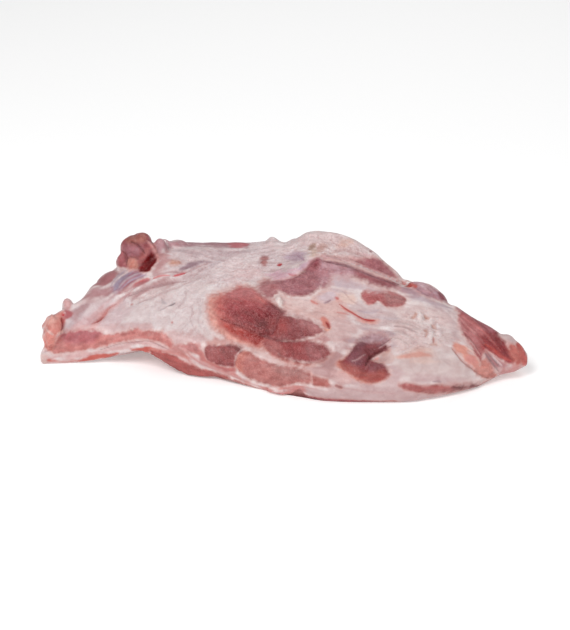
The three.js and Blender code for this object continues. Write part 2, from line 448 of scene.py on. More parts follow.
# %% Draw the cheek and the band over the crest
# Each muscle: its tint, the softness of its edge in pixels, its rise in millimetres and its outline
LEAN = {
    "cheek_film": ("#DAA196", 3.5, 0.4,
        "208,300 210,296 218,294 229,291 238,286 250,286.5 261,293 270,300 282,308 286,315 284,332 "
        "276,344 263,349 254,347.5 241,344.5 229,339.5 217,332 210,323 207,311"),
    "cheek_red": ("#C46C66", 5.5, 0.4,
        "216,301 221,296 230,291 241,287 253,289 264,296 274,303 283,309 286,318 282,334 268,346 256,343 "
        "242,338 230,331 221,323 217,312"),
    "cheek_rose": ("#BD6E6F", 5, 0, "226,296 236,289 248,288 258,294 252,299 238,300"),
    "cheek_dark": ("#9F4B4F", 7, 0.5,
        "225,305 232,301 244,300 256,302 266,305 275,307 284,310.5 286,318 280,331 270,336 258,332 "
        "244,327 231,321 226,314"),
    "cheek_deep": ("#80282E", 7, 0, "236,314 250,310 264,310 279,313 282,322 274,333 258,331 243,324"),
    "cheek_lip": ("#A4372F", 4, 0.6,
        "224,325 233,328.5 246,333 257,336.5 263,341 262,346 254,343 242,339.2 231,333"),
    "lip_end": ("#93302D", 4, 0, "244,330 254,332 264,337 265,343.5 257,342.5 247,336.5"),
    "cheek_shadow": ("#82333A", 4, -0.2, "267,306 273,304.5 280,307 285,311 282,318 275,320 269,314"),
    # Painted shade where the cheek meets the second lobe
    "cheek_join_shade": ("#68181E", 5, -0.2, "255,322 264,319 275,319 277,330 270,338 260,335"),
    "upper_band": ("#9D666D", 2.6, 0.6,
        "264,286 272,281 282,280 292,277 302,271.6 310,265 317,257 324,261 329,267 328,274 323,283 "
        "316,291 308,295 298,296 288,295 279,292 270,290"),
    "band_fade": ("#B78B94", 5, 0, "322,261 330,264 334,271 331,280 324,288 320,284 322,272"),
    "band_joint": ("#AE7578", 4, 0.2, "258,288 262,282 268,279.5 273,282 279,290 276,298 268,299 261,294"),
    "band_peak": ("#8F4A54", 3, 0, "309,266 313,260 317,257 323,260 320,265 313,269"),
    "crest_arc": ("#8F606A", 4.5, -0.3,
        "322,258 335,259 347,260.5 359,264 371,268.2 383,273.5 398,280.5 397,288 386,288 372,284 "
        "358,278.5 346,274.5 335,272.5 328,272"),
    "arc_brown": ("#98585F", 4.5, 0,
        "354,264.5 369,269.3 382,274.7 396,281.5 395,288 384,287.5 371,283 357,277"),
    "arc_pale": ("#BD929A", 4, 0, "323,263 334,264 346,267 353,273 345,278 334,276 325,273"),
}
print(len(LEAN), "muscles so far")

# %% Draw the lobes and the band in front
LEAN |= {
    "second_lobe": ("#8B484B", 1.8, 1.2,
        "272,325 276,318 284,315 293,317.3 303,319 315,323.5 321,327.5 325,331 320,334 311,337 300,339.5 "
        "289,340.5 278,340 272,336"),
    "second_lobe_red": ("#963E3D", 6, 0, "272,325 278,319 286,320 286,332 276,336"),
    "second_lobe_pale": ("#A66E6F", 5, 0, "296,318 304,318 315,323.5 324,330.5 314,332 303,326"),
    "third_film": ("#C3837A", 3.2, 0.4,
        "261,345 267,341 274,349 286,357 298,361.5 312,362.5 320,360 314,366 303,366.5 292,365 279,360 "
        "269,354 263,350"),
    "third_lobe": ("#8B3739", 3, 1.3,
        "265,344 271,338 280,340.3 290,340.3 302,340.3 315,342 325,345.5 330,351 328,357 319,361.5 "
        "306,362.5 293,360.5 280,356 271,350.5"),
    "third_lobe_pale": ("#985A5C", 5, 0, "308,344 318,344 326,347 329,352 325,357.5 314,359 307,353"),
    "third_lobe_film": ("#AC6866", 4, 0, "265,344 271,340 279,346 284,353 278,354.5 270,350"),
    "front_band": ("#B4746F", 2, 0.8,
        "235,366 236,358 241,351 249,352 258,357 269,362 280,366 294,367 305,371 311,375 310,383.5 "
        "296,383.5 283,386 271,385.5 257,381 244,375.5"),
    "front_band_film": ("#C47E73", 3, 0, "235,366 236,358 241,351 248,352 244,358 241,365 243,373"),
    "front_band_grey": ("#A67571", 6, 0, "276,367 290,368 304,372 308,378 296,379 282,375"),
    "front_band_end": ("#AC6963", 2.2, 0.5,
        "311.6,376 318,376.5 326,379.5 331,384.5 327,387 318,386 312,383.5"),
    "front_band_tail": ("#A87674", 1, 0.2, "335,384.5 339,385.5 343,387.5 341,389 336,387"),
    "small_lean": ("#8F4B4C", 1.6, 0.6,
        "204,351 206.5,346 220,345 233,345.5 241,347.5 240,351.5 236.5,355 235,360 232.5,367 223,366 "
        "210,361.5 204.5,356.5"),
    "small_lean_pale": ("#9F5C5C", 5, 0, "204,352 208,346.5 219,347 218,356 212,361 206,357"),
    "small_lean_edge": ("#793B3E", 2.5, -0.3, "226,345 234,345 241,347 241.5,350.5 237,352 233,348"),
}
print(len(LEAN), "muscles so far")

# %% Draw the oval, the crescent and the right lump
LEAN |= {
    "oval_lean": ("#AF6263", 1.3, 0.8,
        "361,295 365,290 375,291 388,291 399,294 406,299 403,305 395,307 385,306 378,301 371,305 365,302"),
    "oval_grey": ("#A66F6E", 4, 0, "386,293 398,295 405,300 400,305 388,304"),
    "crescent_film": ("#C67E70", 2, 0.4,
        "335.5,365 339,361 345,357 350.5,351 354.7,345 358,342.5 365.5,342 372,344.5 379,344 386,346.5 "
        "388,350 381,353 375,356 371,360 376,361 381.5,363.5 387,368 390,373 388,377 381.5,381.5 "
        "374.5,383.5 366,383.5 358.5,381 353,377 347,373 340.5,369.5"),
    "crescent": ("#87383E", 3, 0.7,
        "342,362 346,357 350.5,350.5 354.5,344.5 358,341 365.5,340 372,342 379,342 386,345.5 388,350 "
        "381,353 375,356 371,360 376,361 381.5,363.5 387.5,368 389,373 385,377 376,379.5 366,379 357,375 "
        "349,370 344,366"),
    "crescent_deep": ("#79424B", 4, 0.2,
        "349,356 353.5,348 358,342.5 366,342 372,345.5 370,353 366,360 360,366 353,366 349,362"),
    "crescent_end": ("#85474E", 4, 0.3, "369,371 372,365 377,363 383,365.5 387,370 385,375 377,377"),
    "crescent_low": ("#A2524C", 3.5, 0,
        "342,366 350,371 358,376 367,380 377,380 386,376 384,371 372,374 360,371 348,365"),
    # Painted shade: a purple-grey haze over the top of the crescent, where the pit dips
    "pit_lean_shade": ("#AF9198", 4, 0, "358,341 363,336 371,333 380,334 388,337 387,342.5 380,343 370,342"),
    "crescent_arm": ("#86474C", 2.5, 0,
        "364,347 371,344.5 378,343 385,343.5 387.5,346 384.5,349.5 378,352 372.5,355 368,359 363,356"),
    "right_lump": ("#BD97A1", 2.2, 0.4,
        "406,284 409,282 412.5,280.5 421,281 426,284 433.5,288 444,295 449,300 451,304 442,301 431,298.5 "
        "422.5,294.5 415,288.5"),
    "right_lump_red": ("#8E4C57", 2, 0.2, "439,291.5 444.5,295 449,300 450,303.5 444,300.5 440,296"),
    "lump_end": ("#B85750", 1.4, 0.2, "405,284 408,282.5 413,284.5 416,287 410,287"),
}
print(len(LEAN), "muscles so far")

# %% Draw the lean of the tip
LEAN |= {
    "tip_lean": ("#A64648", 2, 0.3,
        "461,311 468,312 486,320 497,329 499,336 506,344.5 514,354.5 518,361 514,363.5 506,362.5 "
        "497,357.5 489,351.5 485,350 482.5,356 481,363 474,351 469.5,342 464.5,331 459,320"),
    "tip_dark": ("#8B373B", 4, 0,
        "466,316 476,319 486,325 497,332 508,346 515,357 510,359.5 500,354 487,344 474,331"),
    "tip_edge": ("#A4636A", 2.5, 0, "456,307 468,310 486,319 497,328 491,332 479,326 469,319 461,313"),
    "tip_light_top": ("#BF7576", 3, 0, "461,316 470,320 478,326 483,334 475,335 466,326"),
    "tip_pale_lean": ("#B47273", 3, 0, "459,320 464,325 472,334 480,345 482,358 475,351 466,338 461,329"),
    "tip_rim": ("#BE5F5A", 2.4, 0, "515,345 519,341 523.5,346 527,354 529,360 525,368 520.5,365 518.7,356"),
    "tip_light": ("#BC6B62", 2.6, 0,
        "508,344 514,343.5 519,349 521.5,357 522,364.5 517,365 512.5,359 509.5,351"),
    "tip_triangle": ("#CB8A80", 2.4, 0,
        "482,361 486,360 491.5,367 497,374 497,378 488.5,379 482,377 475,371 479,367"),
    "low_strip": ("#AC6765", 2, 0.4,
        "399,385.5 406,383.5 414,383.5 426,386.5 437,384.5 447,385.5 462,385.5 481,384 474,388 462,390 "
        "443,393 427,393.5 410,391"),
    "low_strip_end": ("#7F4E4F", 4, 0, "452,386 466,385 481,384 474,388 460,390"),
}
print(len(LEAN), "muscles so far")

# %% Draw the lean of the flap, the belly, the gland and the hump
LEAN |= {
    "flap_band": ("#CA8782", 1.8, 0.3,
        "57,337 64,333 79,330.5 101,331.5 104,334.5 117,333.5 129,331.5 136,328.5 143,331 160,331.5 "
        "169,338 173,346 168,347 159,342 143,339 126,341 104,346 84,350 68,352 54,353.5 55,345"),
    "flap_band_dark": ("#B66D72", 4, 0, "63,334 79,330 101,331 98,336 92,341 78,343 66,342"),
    "flap_bits": ("#B87A78", 2, 0.2, "178,347 186,344 196,345 199,351 188,352"),
    "belly": ("#AD5A56", 2, 0.2,
        "150,351.5 157,351 170,352.5 183,354 189,361 197,367 212,371.5 228,376 231,380 234,388 200,388 "
        "176,380 156,364"),
    # Painted shade: the belly darker along its lower, downward-facing part
    "belly_low_shade": ("#914A47", 5, 0, "160,362 180,372 200,379 232,386 232,393 196,391 168,380"),
    "rind_line": ("#AE6663", 1.2, 0,
        "228,379 244,383 262,390 276,394 288,393 300,392 312,397 340,400 396,401 396,406 330,406 290,404 "
        "262,398 236,390"),
    "gland": ("#A05A60", 1.6, 0,
        "115.5,258 117,253.5 120.5,251 121,243 124,237 130,234 136,233.5 140.5,231 147,233 151,238 "
        "154,244 156,252 158,259 153,266 148,272 139,270 126,268 118,266"),
    "gland_purple": ("#9D646C", 3, 0.3, "124,246 131,243.5 139,246 144,252 141,257 133,256 126,255"),
    "gland_top": ("#A4665D", 3, 0, "126,240 132,236 138,235 143,233.5 146,238 141,242 132,243"),
    "gland_left": ("#AC676D", 2, 0.2, "116,258 118,253.5 122.5,252.5 125.5,257 124,264 119,266"),
    "gland_peach": ("#CE8E80", 3, 0.2, "127.5,263 130,259.5 135,259.5 138.5,264 136,268.5 130,268.5"),
    "gland_right": ("#AC6564", 2.5, 0, "138,262 141,256 145,250 149,250 146,257 142,263"),
    "gland_cavity": ("#7A0E14", 1.6, -3.4,
        "139,270 142,265 146,260 150,254 153,254 156.5,259 153,265 148.5,271 143,272"),
    "hump_lean": ("#A66C72", 2.6, 0.3,
        "353,262.5 361,260.5 370,258.5 378,259 385,264 392,271 394,276 384,275.5 371,271.5 359,267"),
    "hump_lean_dark": ("#A0636A", 3, 0, "364,264 372,261.5 380,263 388,270 380,270 371,267.5"),
}
print(len(LEAN), "muscles")


# %% Lay the lean on the skin
def linear(hex_code):
    """The linear red, green and blue of an sRGB hex colour."""
    shares = np.array([int(hex_code[i : i + 2], 16) / 255 for i in (1, 3, 5)])
    return np.where(shares <= 0.04045, shares / 12.92, ((shares + 0.055) / 1.055) ** 2.4)


def blend_tint(tints, tint, weight):
    """Carries some vertices' tints towards one colour."""
    tints += (linear(tint) - tints) * weight[:, None]


PLAIN_LEAN = "#A86A6A"
EDGE_LIMIT = 3.0
RISE_PIXELS = 7
LEAN_WOBBLE = 1.2
# How much of a vertex has to be seen before lean begins to show on it, and for it to show in full
SEEN_FADE = (0.02, 0.5)

lean_tint = np.tile(linear(PLAIN_LEAN), (count, 1))
lean_edge = np.full(count, -EDGE_LIMIT)
turned_away = 2 * EDGE_LIMIT * (1 - fade(seen, *SEEN_FADE))
relief = np.zeros(count)
for tint, soft, rise, outline in LEAN.values():
    depth = depth_inside(pixels, outline) + wobble * min(LEAN_WOBBLE, soft / 2)
    edge = np.minimum(depth / soft, EDGE_LIMIT) - turned_away
    lean_edge = np.maximum(lean_edge, np.clip(edge, -EDGE_LIMIT, EDGE_LIMIT))
    blend_tint(lean_tint, tint, seen * fade(depth, -soft - 1, soft - 1))
    relief += rise * seen * fade(depth, -1, RISE_PIXELS)
print("lean on", round(float((lean_edge > 0).mean()), 3), "of the skin")

# %% [markdown]
# ## The fat and its membranes
# The fat isn't one white: it is greyer on the top plane, creamy on the right mound, and it has lilac and
# bluish membranes, tan and orange stains and pink films. Those are soft patches that only tint, broken up
# by the streaks. A few of them are covers, fat that lies over a muscle, so they also push the edge of the
# lean back.

# %% Draw the broad tints of the fat
# Each patch: its tint, the softness of its edge in pixels and its outline
FAT = {
    "top_plane": ("#D7C7C8", 10, "150,250 180,240 250,240 300,238 312,250 300,270 260,280 214,284 170,276"),
    "left_fat": ("#DDD0D0", 7,
        "92,318 110,304 140,301 165,293 198,288 206,300 204,330 188,338 160,328 130,326 104,330"),
    "low_left_pink": ("#CDAFAE", 4, "163,330 176,330 190,332 202,333 205,342 192,345 178,345 168,342"),
    "flap_fat": ("#D6C2C4", 6, "72,328 80,312 94,300 112,296 128,300 124,316 112,328 92,331"),
    "flap_top_pink": ("#CFB1B1", 3, "74,326 100,325 125,325 147,325 148,331 120,332 100,331 78,331"),
    "hump_fat": ("#DDCAC9", 6, "296,236 330,228 368,244 400,274 390,284 356,268 322,256 306,250"),
    "crest_white": ("#E2D2D2", 4, "274,246 290,242 303,246 299,253 284,255"),
    "hump_pink": ("#D6B4B6", 3, "346,262 352,257 362,254 372,256 366,260 356,263"),
    "right_mound": ("#CFBBB9", 8, "392,350 424,344 450,352 478,372 470,384 430,384 396,384 388,368"),
    "mound_shade": ("#C4A8A9", 5, "404,378 424,375 450,376 468,382 450,386 420,384"),
    "mound_left": ("#C5A9AA", 4, "383,363 394,366 403,374 398,384 388,383 390,372"),
    "tip_border": ("#CBB2B2", 5, "436,304 446,308 456,316 460,330 458,342 448,338 444,324"),
    "right_cream": ("#DAC5C3", 6, "396,308 412,302 440,310 450,326 446,344 424,350 400,348 390,330"),
    "white_above": ("#DED0CF", 5, "300,252 322,246 346,254 340,258 322,255 310,262 296,270 286,268"),
    # Painted shade: grey on the left of the flap, near the curl
    "flap_grey_shade": ("#C7B8BC", 5, "66,330 68,318 76,308 84,304 82,314 74,326"),
    "slit_pink": ("#CFA5A7", 5, "79,326 86,319 95,317 98,322 92,330 83,331"),
    "mound_grey": ("#CBB9BC", 5, "205,262 212,258 222,259 223,266 215,271 207,269"),
}
print(len(FAT), "tints so far")

# %% Draw the membranes along the top
FAT |= {
    "lilac_film": ("#A2798A", 2.5,
        "111,291 114.5,285 120.5,278 127,273 136,271 148,273 150,276 140,279 131,284 122,290 115,293"),
    "blue_film": ("#A091A3", 2.5, "112,291 117,282 124,275 126,279 119,288"),
    "film_rose": ("#AC727C", 2.5, "122,286 128,281 136,277.5 143,277 137,282 129,286.5"),
    "shoulder_lean": ("#A66F73", 2.5, "95,285 98,279 104,275 111,271 116,268.5 114.5,276 110,283 103,287"),
    "shoulder_edge": ("#B89799", 4, "70,318 76,308 86,298 96,288 102,290 94,300 84,310 76,320"),
    "tan_film": ("#B4878A", 4, "87,299 93,292 102,289 112,290 109,297 98,300 90,301"),
    "red_film": ("#D25B5B", 1.8, "133,285 137,280.5 144,278 151,278 150,281.5 143,285 136,287"),
    "red_film_low": ("#B67A7D", 3, "119,294 126,288 134,283 146,278 152,279 146,285 136,290 126,295"),
    "fold_pink": ("#C29C9D", 4, "132,296 146,287 160,282 174,279 176,283 164,288 148,294 138,298"),
    "orange_spot": ("#CE9C8B", 2, "166,264 171,260 179,260 180,263.5 172,266"),
    "grey_film": ("#9F868E", 2, "180,268.5 190,263 203,260 213,261.5 203,265 192,269.5"),
    "rim_strip": ("#AB8087", 2.2, "180,243 196,240 224,240 246,243 246,248 224,247 200,247 184,247"),
    "rim_strip_pink": ("#B8666D", 1.8, "228,243 238,242 248,245 240,248 230,247"),
    "rim_shade": ("#C2ADB0", 4, "178,249 200,250 225,250 246,250 240,256 215,258 190,255"),
    "plane_white": ("#E3D4D4", 5, "212,269 226,262 244,258 256,262 248,272 226,277"),
    "rim_beads": ("#BA9096", 3, "148,248 152,240 162,235 170,240 182,239 182,246 168,248 160,256 154,260"),
    "gland_foot": ("#BE9494", 3, "150,272 154,266 158,260 160,252 168,254 170,262 164,270 156,275"),
    "lilac_patch": ("#C3ABB7", 4, "283,259 290,253 299,250.5 306,254 303,260 291,262"),
    "pink_patch": ("#DEC8C8", 5, "228,276 236,268 250,266 262,272 254,278 240,280"),
    "pink_by_band": ("#D6B0BC", 3.5, "268,277 276,271 290,271 302,268 296,275 284,279 272,280"),
    "lilac_lump": ("#C6A8B6", 2.5, "300,268 306,262 314,259 311,265 304,270"),
    "olive_spot": ("#B0978A", 1.4, "306.6,250.5 309,246 315,242.5 316.5,244 313,249 309,251.5"),
    "olive_film": ("#CDB3A6", 1.8, "309,254 313,249.5 318,248 318,253 313,256.5"),
    "brown_film": ("#C4A39C", 2.2, "317,250 318,245 325,243.5 328,247 322,251"),
    "hump_peach": ("#DDBDB3", 3, "338,246 342,241 350,242 350,247 344,248"),
    "knot": ("#AD7876", 1.8, "260,262 262,257 267,256 268,262 264,266"),
}
print(len(FAT), "tints so far")

# %% Draw the curl and the edge of the flap
FAT |= {
    "curl": ("#D88C82", 3,
        "43,323 47,318 55,314 62,310 66,312 64,320 63,328 60,334 58,344 57,352 46,353 44,345 42,336 "
        "43,329"),
    "curl_pale": ("#DFA89D", 3, "46,322 52,317 58,318 56,325 50,326"),
    "flap_corner": ("#D8BFBA", 2, "40,357 44,353.5 48,355 49,361 44,364"),
    "end_bead": ("#D3A9A8", 2, "63,303 66,299 71,301 73,308 69,312 64,309"),
    "curl_shade": ("#AF6468", 2, "63,309 68,308.5 72,312 70,317 65,318"),
    "flap_pink": ("#D0A7A8", 5, "76,326 90,318 104,312 106,318 94,328 82,331"),
    "slit_halo": ("#D3A5A3", 4, "86,329 96,318 106,308 118,300 119,304 110,311 102,318 94,327"),
    "white_line": ("#D3AFAE", 1.8,
        "44,357 70,354 100,350 120,345.5 134,341 150,341 162,344.5 174,350 186,356 198,364 190,364 "
        "178,357 164,351 146,346 134,346 120,349 100,354 70,358"),
    "flap_stain": ("#C4645A", 1.8,
        "50,359.5 66,360 82,359 90,355.5 100,354.5 111,353.5 120,352 113,356.5 100,359.5 84,362 64,363 "
        "50,362.5"),
    "arch_stain": ("#C15C52", 2, "131,350 138,348 148,347 156,348 159,352 146,353 134,353"),
    "belly_rim": ("#C98A86", 1.6,
        "153,349 170,350.5 184,352.5 191,360.5 198,366 213,370.5 229,374.5 228,377 212,373.5 196,368.5 "
        "188,362.5 181,356 168,353.5"),
    "belly_pink": ("#BA6F6D", 2.2,
        "186,346 196,343 204,354 212,361.5 224,366.5 235,368 232,373 218,369.5 204,363 193,354"),
    "arch_pink": ("#BC8280", 2.2, "168,347 176,346.5 184,349 188,354 182,354.5 174,351.5"),
}
print(len(FAT), "tints so far")

# %% Draw the fat between the muscles
FAT |= {
    "white_corner": ("#C68681", 1.6,
        "229,375 233,372.5 240,376.5 252,382 266,386.5 282,386.5 300,385 318,388 318,391 300,388.5 "
        "282,389.5 264,389 246,383.5"),
    "white_tongue": ("#D6B4AF", 1.8,
        "276,294 281,295 290,298 300,299 312,297 326,290 340,294 350,306 344,320 328,320 316,318 304,315 "
        "292,312 284,307 276,303"),
    "white_tab": ("#E4D6D2", 1.2, "274,295.5 278,294 283,297 283.5,306.5 280,308 275.5,302.5"),
    "tongue_lilac": ("#CFBABF", 2.6, "316,299 322,295 330,291 336,293 334,300 325,304"),
    "tongue_white": ("#DEC4C0", 3, "280,295.5 290,298 300,299 310,299 316,304 312,312 300,310 288,305"),
    "middle_pink": ("#D1B3B1", 5, "316,335 326,327 336,321 350,320 358,328 352,340 340,347 328,344"),
    "middle_grey": ("#CDB6B6", 5,
        "350,300 362,304 378,305 392,311 396,322 384,328 366,330 356,322 346,312"),
    "tongue_peach": ("#E0C4BB", 3, "340,292 348,290 356,296 354,302 344,300"),
    "blood_pink": ("#CF8377", 1.3, "321.5,318 324,317 329,321.5 331,327 327,329.5 323.5,326 322,321"),
    "vein_halo": ("#DDA59C", 2.4,
        "336,303 340,302.5 351,310.5 366,317.6 378,318.6 378,322 364,321.5 350,314.5"),
    "crest_film": ("#C6B2B8", 5, "334,275 346,276 360,282 376,289 388,291 372,292 352,291 338,289 330,284"),
    "crest_cover": ("#D0A8A8", 1.2,
        "323,254 335,256 347,259 360,264 372,269 384,273.8 401,281 402,284.5 394,281.5 382,277.2 "
        "370,272.6 358,267.8 346,263.2 334,261 324,259.5"),
    "hump_rose": ("#AE767C", 2, "353,262 364,263 376,266 388,271 397,278 388,276.5 376,272.5 364,268"),
    "hump_red": ("#AA7177", 2, "360,264 367,261.5 376,259.5 384,263.5 390,270 384,271 371,267.5"),
    "lobe_wedge": ("#C69A99", 1.2, "309,340 316,338.5 325,336 332,341 326,342 316,340.6"),
    "lower_channel": ("#D2B5B2", 1.5,
        "242,346 254,348 264,352 278,360 292,365 308,367 322,363 331,356 335,364 341,377 334,382 322,376 "
        "311,371 296,366 282,364 270,360 258,355 248,350"),
    "channel_shade": ("#B58F8E", 3,
        "298,363 310,365 322,362 330,359 335,370 333,381 322,377 312,372 300,368"),
    "pink_by_crescent": ("#B58E8D", 6,
        "316,372 324,364 332,352 338,342 348,340 350,350 342,358 334,366 338,376 350,384 340,392 318,394 "
        "306,388 318,388 330,388 332,382"),
    "band_gap": ("#C99B95", 1, "311,374 312,374.5 312.8,383.5 311.6,384"),
    "tail_pink": ("#D0A9A6", 5, "334,378 342,373 352,371 359,375 355,382 346,385 337,384"),
    "gap_pink": ("#CBA09C", 4, "207,341 218,338 230,341 236,346 222,346 209,346"),
}
print(len(FAT), "tints so far")

# %% Draw the fat round the pit, the tip and the front
FAT |= {
    "pit_shade": ("#B7A2A8", 5, "350,346 357,337 368,331 380,331 391,334 393,342 385,346 371,343 358,345"),
    "pit_tongue": ("#CFB3AF", 1.3, "373,361 378,356 385,352 394,354 393,361 386,363 378,363"),
    "pit_tan": ("#C9A79F", 1.4, "377,355.5 383,352 390,350 388,354 381,357"),
    "pit_pink": ("#E0A29C", 1.3, "373,361 375,357 379,356 379,360"),
    "smear_rim": ("#D5B9B2", 3, "394,356 408,351 421,346.5 430,349 440,357 430,361 410,361 398,360"),
    "orange_smear": ("#D3A095", 2, "397,357.5 408,354.5 420,350.5 427,352.5 434,357 424,357 412,358"),
    "orange_oval": ("#DA998B", 2.2,
        "452.4,345 456,341.6 462.5,345 469.6,352 476,360 480.5,365 478,369 472,367.5 464,359 457,351.5"),
    "oval_red": ("#D5918A", 3, "466,353 472,357 478,365 474,367 467,361"),
    "flake_cream": ("#DFCCCA", 4,
        "412,318 420,311 432,314 440,322 442,334 434,344 424,340 422,330 418,322"),
    "lump_film": ("#C3AFB5", 3.5, "410,292 420,295 432,300 444,304 452,309 440,309 424,303 412,298"),
    "lump_shade": ("#B4929A", 2.5, "394,287 404,286 414,285.5 423,289 420,295 408,295 400,292"),
    "tip_cap": ("#CCB4B3", 1.3,
        "498.5,335 502,331 509,331 515,336 518,341.5 513.5,343.5 508.5,342.5 503.5,339"),
    "tip_end": ("#C9A4A3", 1.8,
        "488,352 494,355.5 499,359.5 506,363.5 514,365 521.5,364.5 526,368 520,375 509.5,380 500,381 "
        "497,371 492.5,363.5"),
    "tip_streaked": ("#B88587", 2, "486,351 493,354.5 499,358.5 506,362 511,366 503,367 495,363"),
    "tip_root": ("#AB7779", 2, "484,351 489,353 494,359 497,367 491,366 486,359"),
    "tip_end_pink": ("#C48C8A", 2.5, "503,370 512,367 520,366 523,371 512,378 502,379"),
    "front_skin": ("#C79894", 3,
        "232,378 250,385 270,391 290,391 310,395 350,398 396,399 396,408 300,408 250,398"),
    "front_shade": ("#C4A8A8", 5,
        "306,387 322,386 340,385 356,382 380,381 400,380 424,380 450,381 468,384 473,390 446,400 400,405 "
        "340,404 310,398"),
    "skin_pink": ("#C57F7D", 2.5,
        "230,378 246,383.5 264,388.5 282,389.5 300,388.5 304,394 286,399 264,395 244,388"),
}
# The patches that lie over a muscle
COVERS = (
    "white_line", "white_corner", "white_tongue", "white_tab", "crest_film", "crest_cover", "lobe_wedge",
    "lower_channel", "band_gap", "pit_tongue", "tip_cap", "tip_end",
)
print(len(FAT), "tints of fat,", len(COVERS), "of them covers")

# %% Lay the tints on the skin
PLAIN_FAT = "#DED0CF"
WHITE_FAT = "#E9E0DF"
PINK_FAT = "#D9BFBE"
WHITE_MM = 9
PINK_MM = 16
FAT_WOBBLE = 1.5
STREAK_SHARE = 1.5

fat_tint = np.tile(linear(PLAIN_FAT), (count, 1))
whiter = fade(grain(WHITE_MM, shift=21) + 0.5 * broad_weave, 0.0, 0.5)
pinker = fade(grain(PINK_MM, shift=31) + 0.4 * weave(size_mm=5, stretch=4, shift=41), 0.1, 0.6)
blend_tint(fat_tint, WHITE_FAT, whiter * 0.8)
blend_tint(fat_tint, PINK_FAT, pinker * 0.7)
for name, (tint, soft, outline) in FAT.items():
    depth = depth_inside(pixels, outline) + wobble * min(FAT_WOBBLE, soft / 2)
    broken = depth + (streaks - 0.5) * soft * STREAK_SHARE
    blend_tint(fat_tint, tint, seen * fade(broken, -soft, soft))
    if name in COVERS:
        bared = turned_away - np.minimum(depth / soft, EDGE_LIMIT)
        lean_edge = np.minimum(lean_edge, np.clip(bared, -EDGE_LIMIT, EDGE_LIMIT))
print("lean left on", round(float((lean_edge > 0).mean()), 3), "of the skin")

# %% [markdown]
# ## Folds, veins and slits
# Knife slits, folded membrane, thin veins and torn shreds are strokes: each has a path in the picture, a
# half width, a height (negative for a groove) and, where blood or shade colours it, a tint and how strong
# that is. They bring the skin to life in raking light, so they are real relief and not only colour.

# %% Draw the slits, folds and wrinkles of the left half
# Each stroke: half its width in pixels, its height in millimetres, its tint, how strongly that colours
# the fat and the lean, and its path
STROKES = {
    "flap_slit": (1.5, -1.1, "#CB8782", 0.85, 0,
        "91.5,324 98,320.5 102,317 105,313.5 108.5,308 116.5,303.5"),
    "flap_slit_dark": (1, -0.6, "#A65450", 1, 0, "95,322.5 99.5,319.5 103,316"),
    # The grey tints of these folds, creases, wrinkles and the grey pit are painted shade in their grooves;
    # the slits keep their reds
    "long_fold": (1.3, -0.8, "#B59697", 0.8, 0, "128,296 138,292 148,288 158,286 166,284 176,282 186,281"),
    "upper_fold": (1.3, -0.45, "#C3A6A7", 1, 0, "150,277 160,274 172,272 186,272 196,268 212,262"),
    "low_fold": (1.4, -0.35, "#CDB6B6", 1, 0, "136,304 150,298 163,292 178,287 192,280"),
    "bright_slit": (1.7, -0.8, "#CC3E48", 1, 0, "173,277 179,275 186,273"),
    "pink_slit": (1.4, -0.5, "#D8898A", 1, 0, "152,279 160,276 170,276"),
    "grey_crease": (1, -0.7, "#938588", 1, 0, "168.5,305.7 172,304.6 175.7,302.7"),
    "crease_tail": (1, -0.3, "#C2B2B3", 0.8, 0, "159,310.3 163.5,308.2 168.5,305.7"),
    "grey_pit": (2, -0.3, "#BFB2B5", 1, 0, "161.5,298 163,301.5 166,303.5"),
    "wrinkle_one": (1.3, -0.4, "#C9B7B8", 1, 0, "178,308 183,302 186,296 185,291"),
    "wrinkle_three": (1.3, -0.25, "#D2C3C3", 1, 0, "198,302 200,311 198,320 202,330"),
    "flap_tear": (1.2, 0.8, "#E2CFCB", 1, 0, "130,328 134,330 136,333"),
    "layer_crease": (0.9, -0.7, "#B08888", 0.6, 0,
        "100,350 112,346 124,343 136,342 148,341 160,346 170,350"),
    # Painted shadow: a soft dark red line along the crease above the cheek's lip
    "cheek_crease_shadow": (2.6, -0.6, "#7A2A2C", 0.75, 0.75, "221,319 232,323 244,327 256,331 268,334"),
    "lobe_crease": (2, -0.6, "#85484B", 0.5, 0.5, "262,336 272,339 284,340 302,341"),
}
print(len(STROKES), "strokes so far")

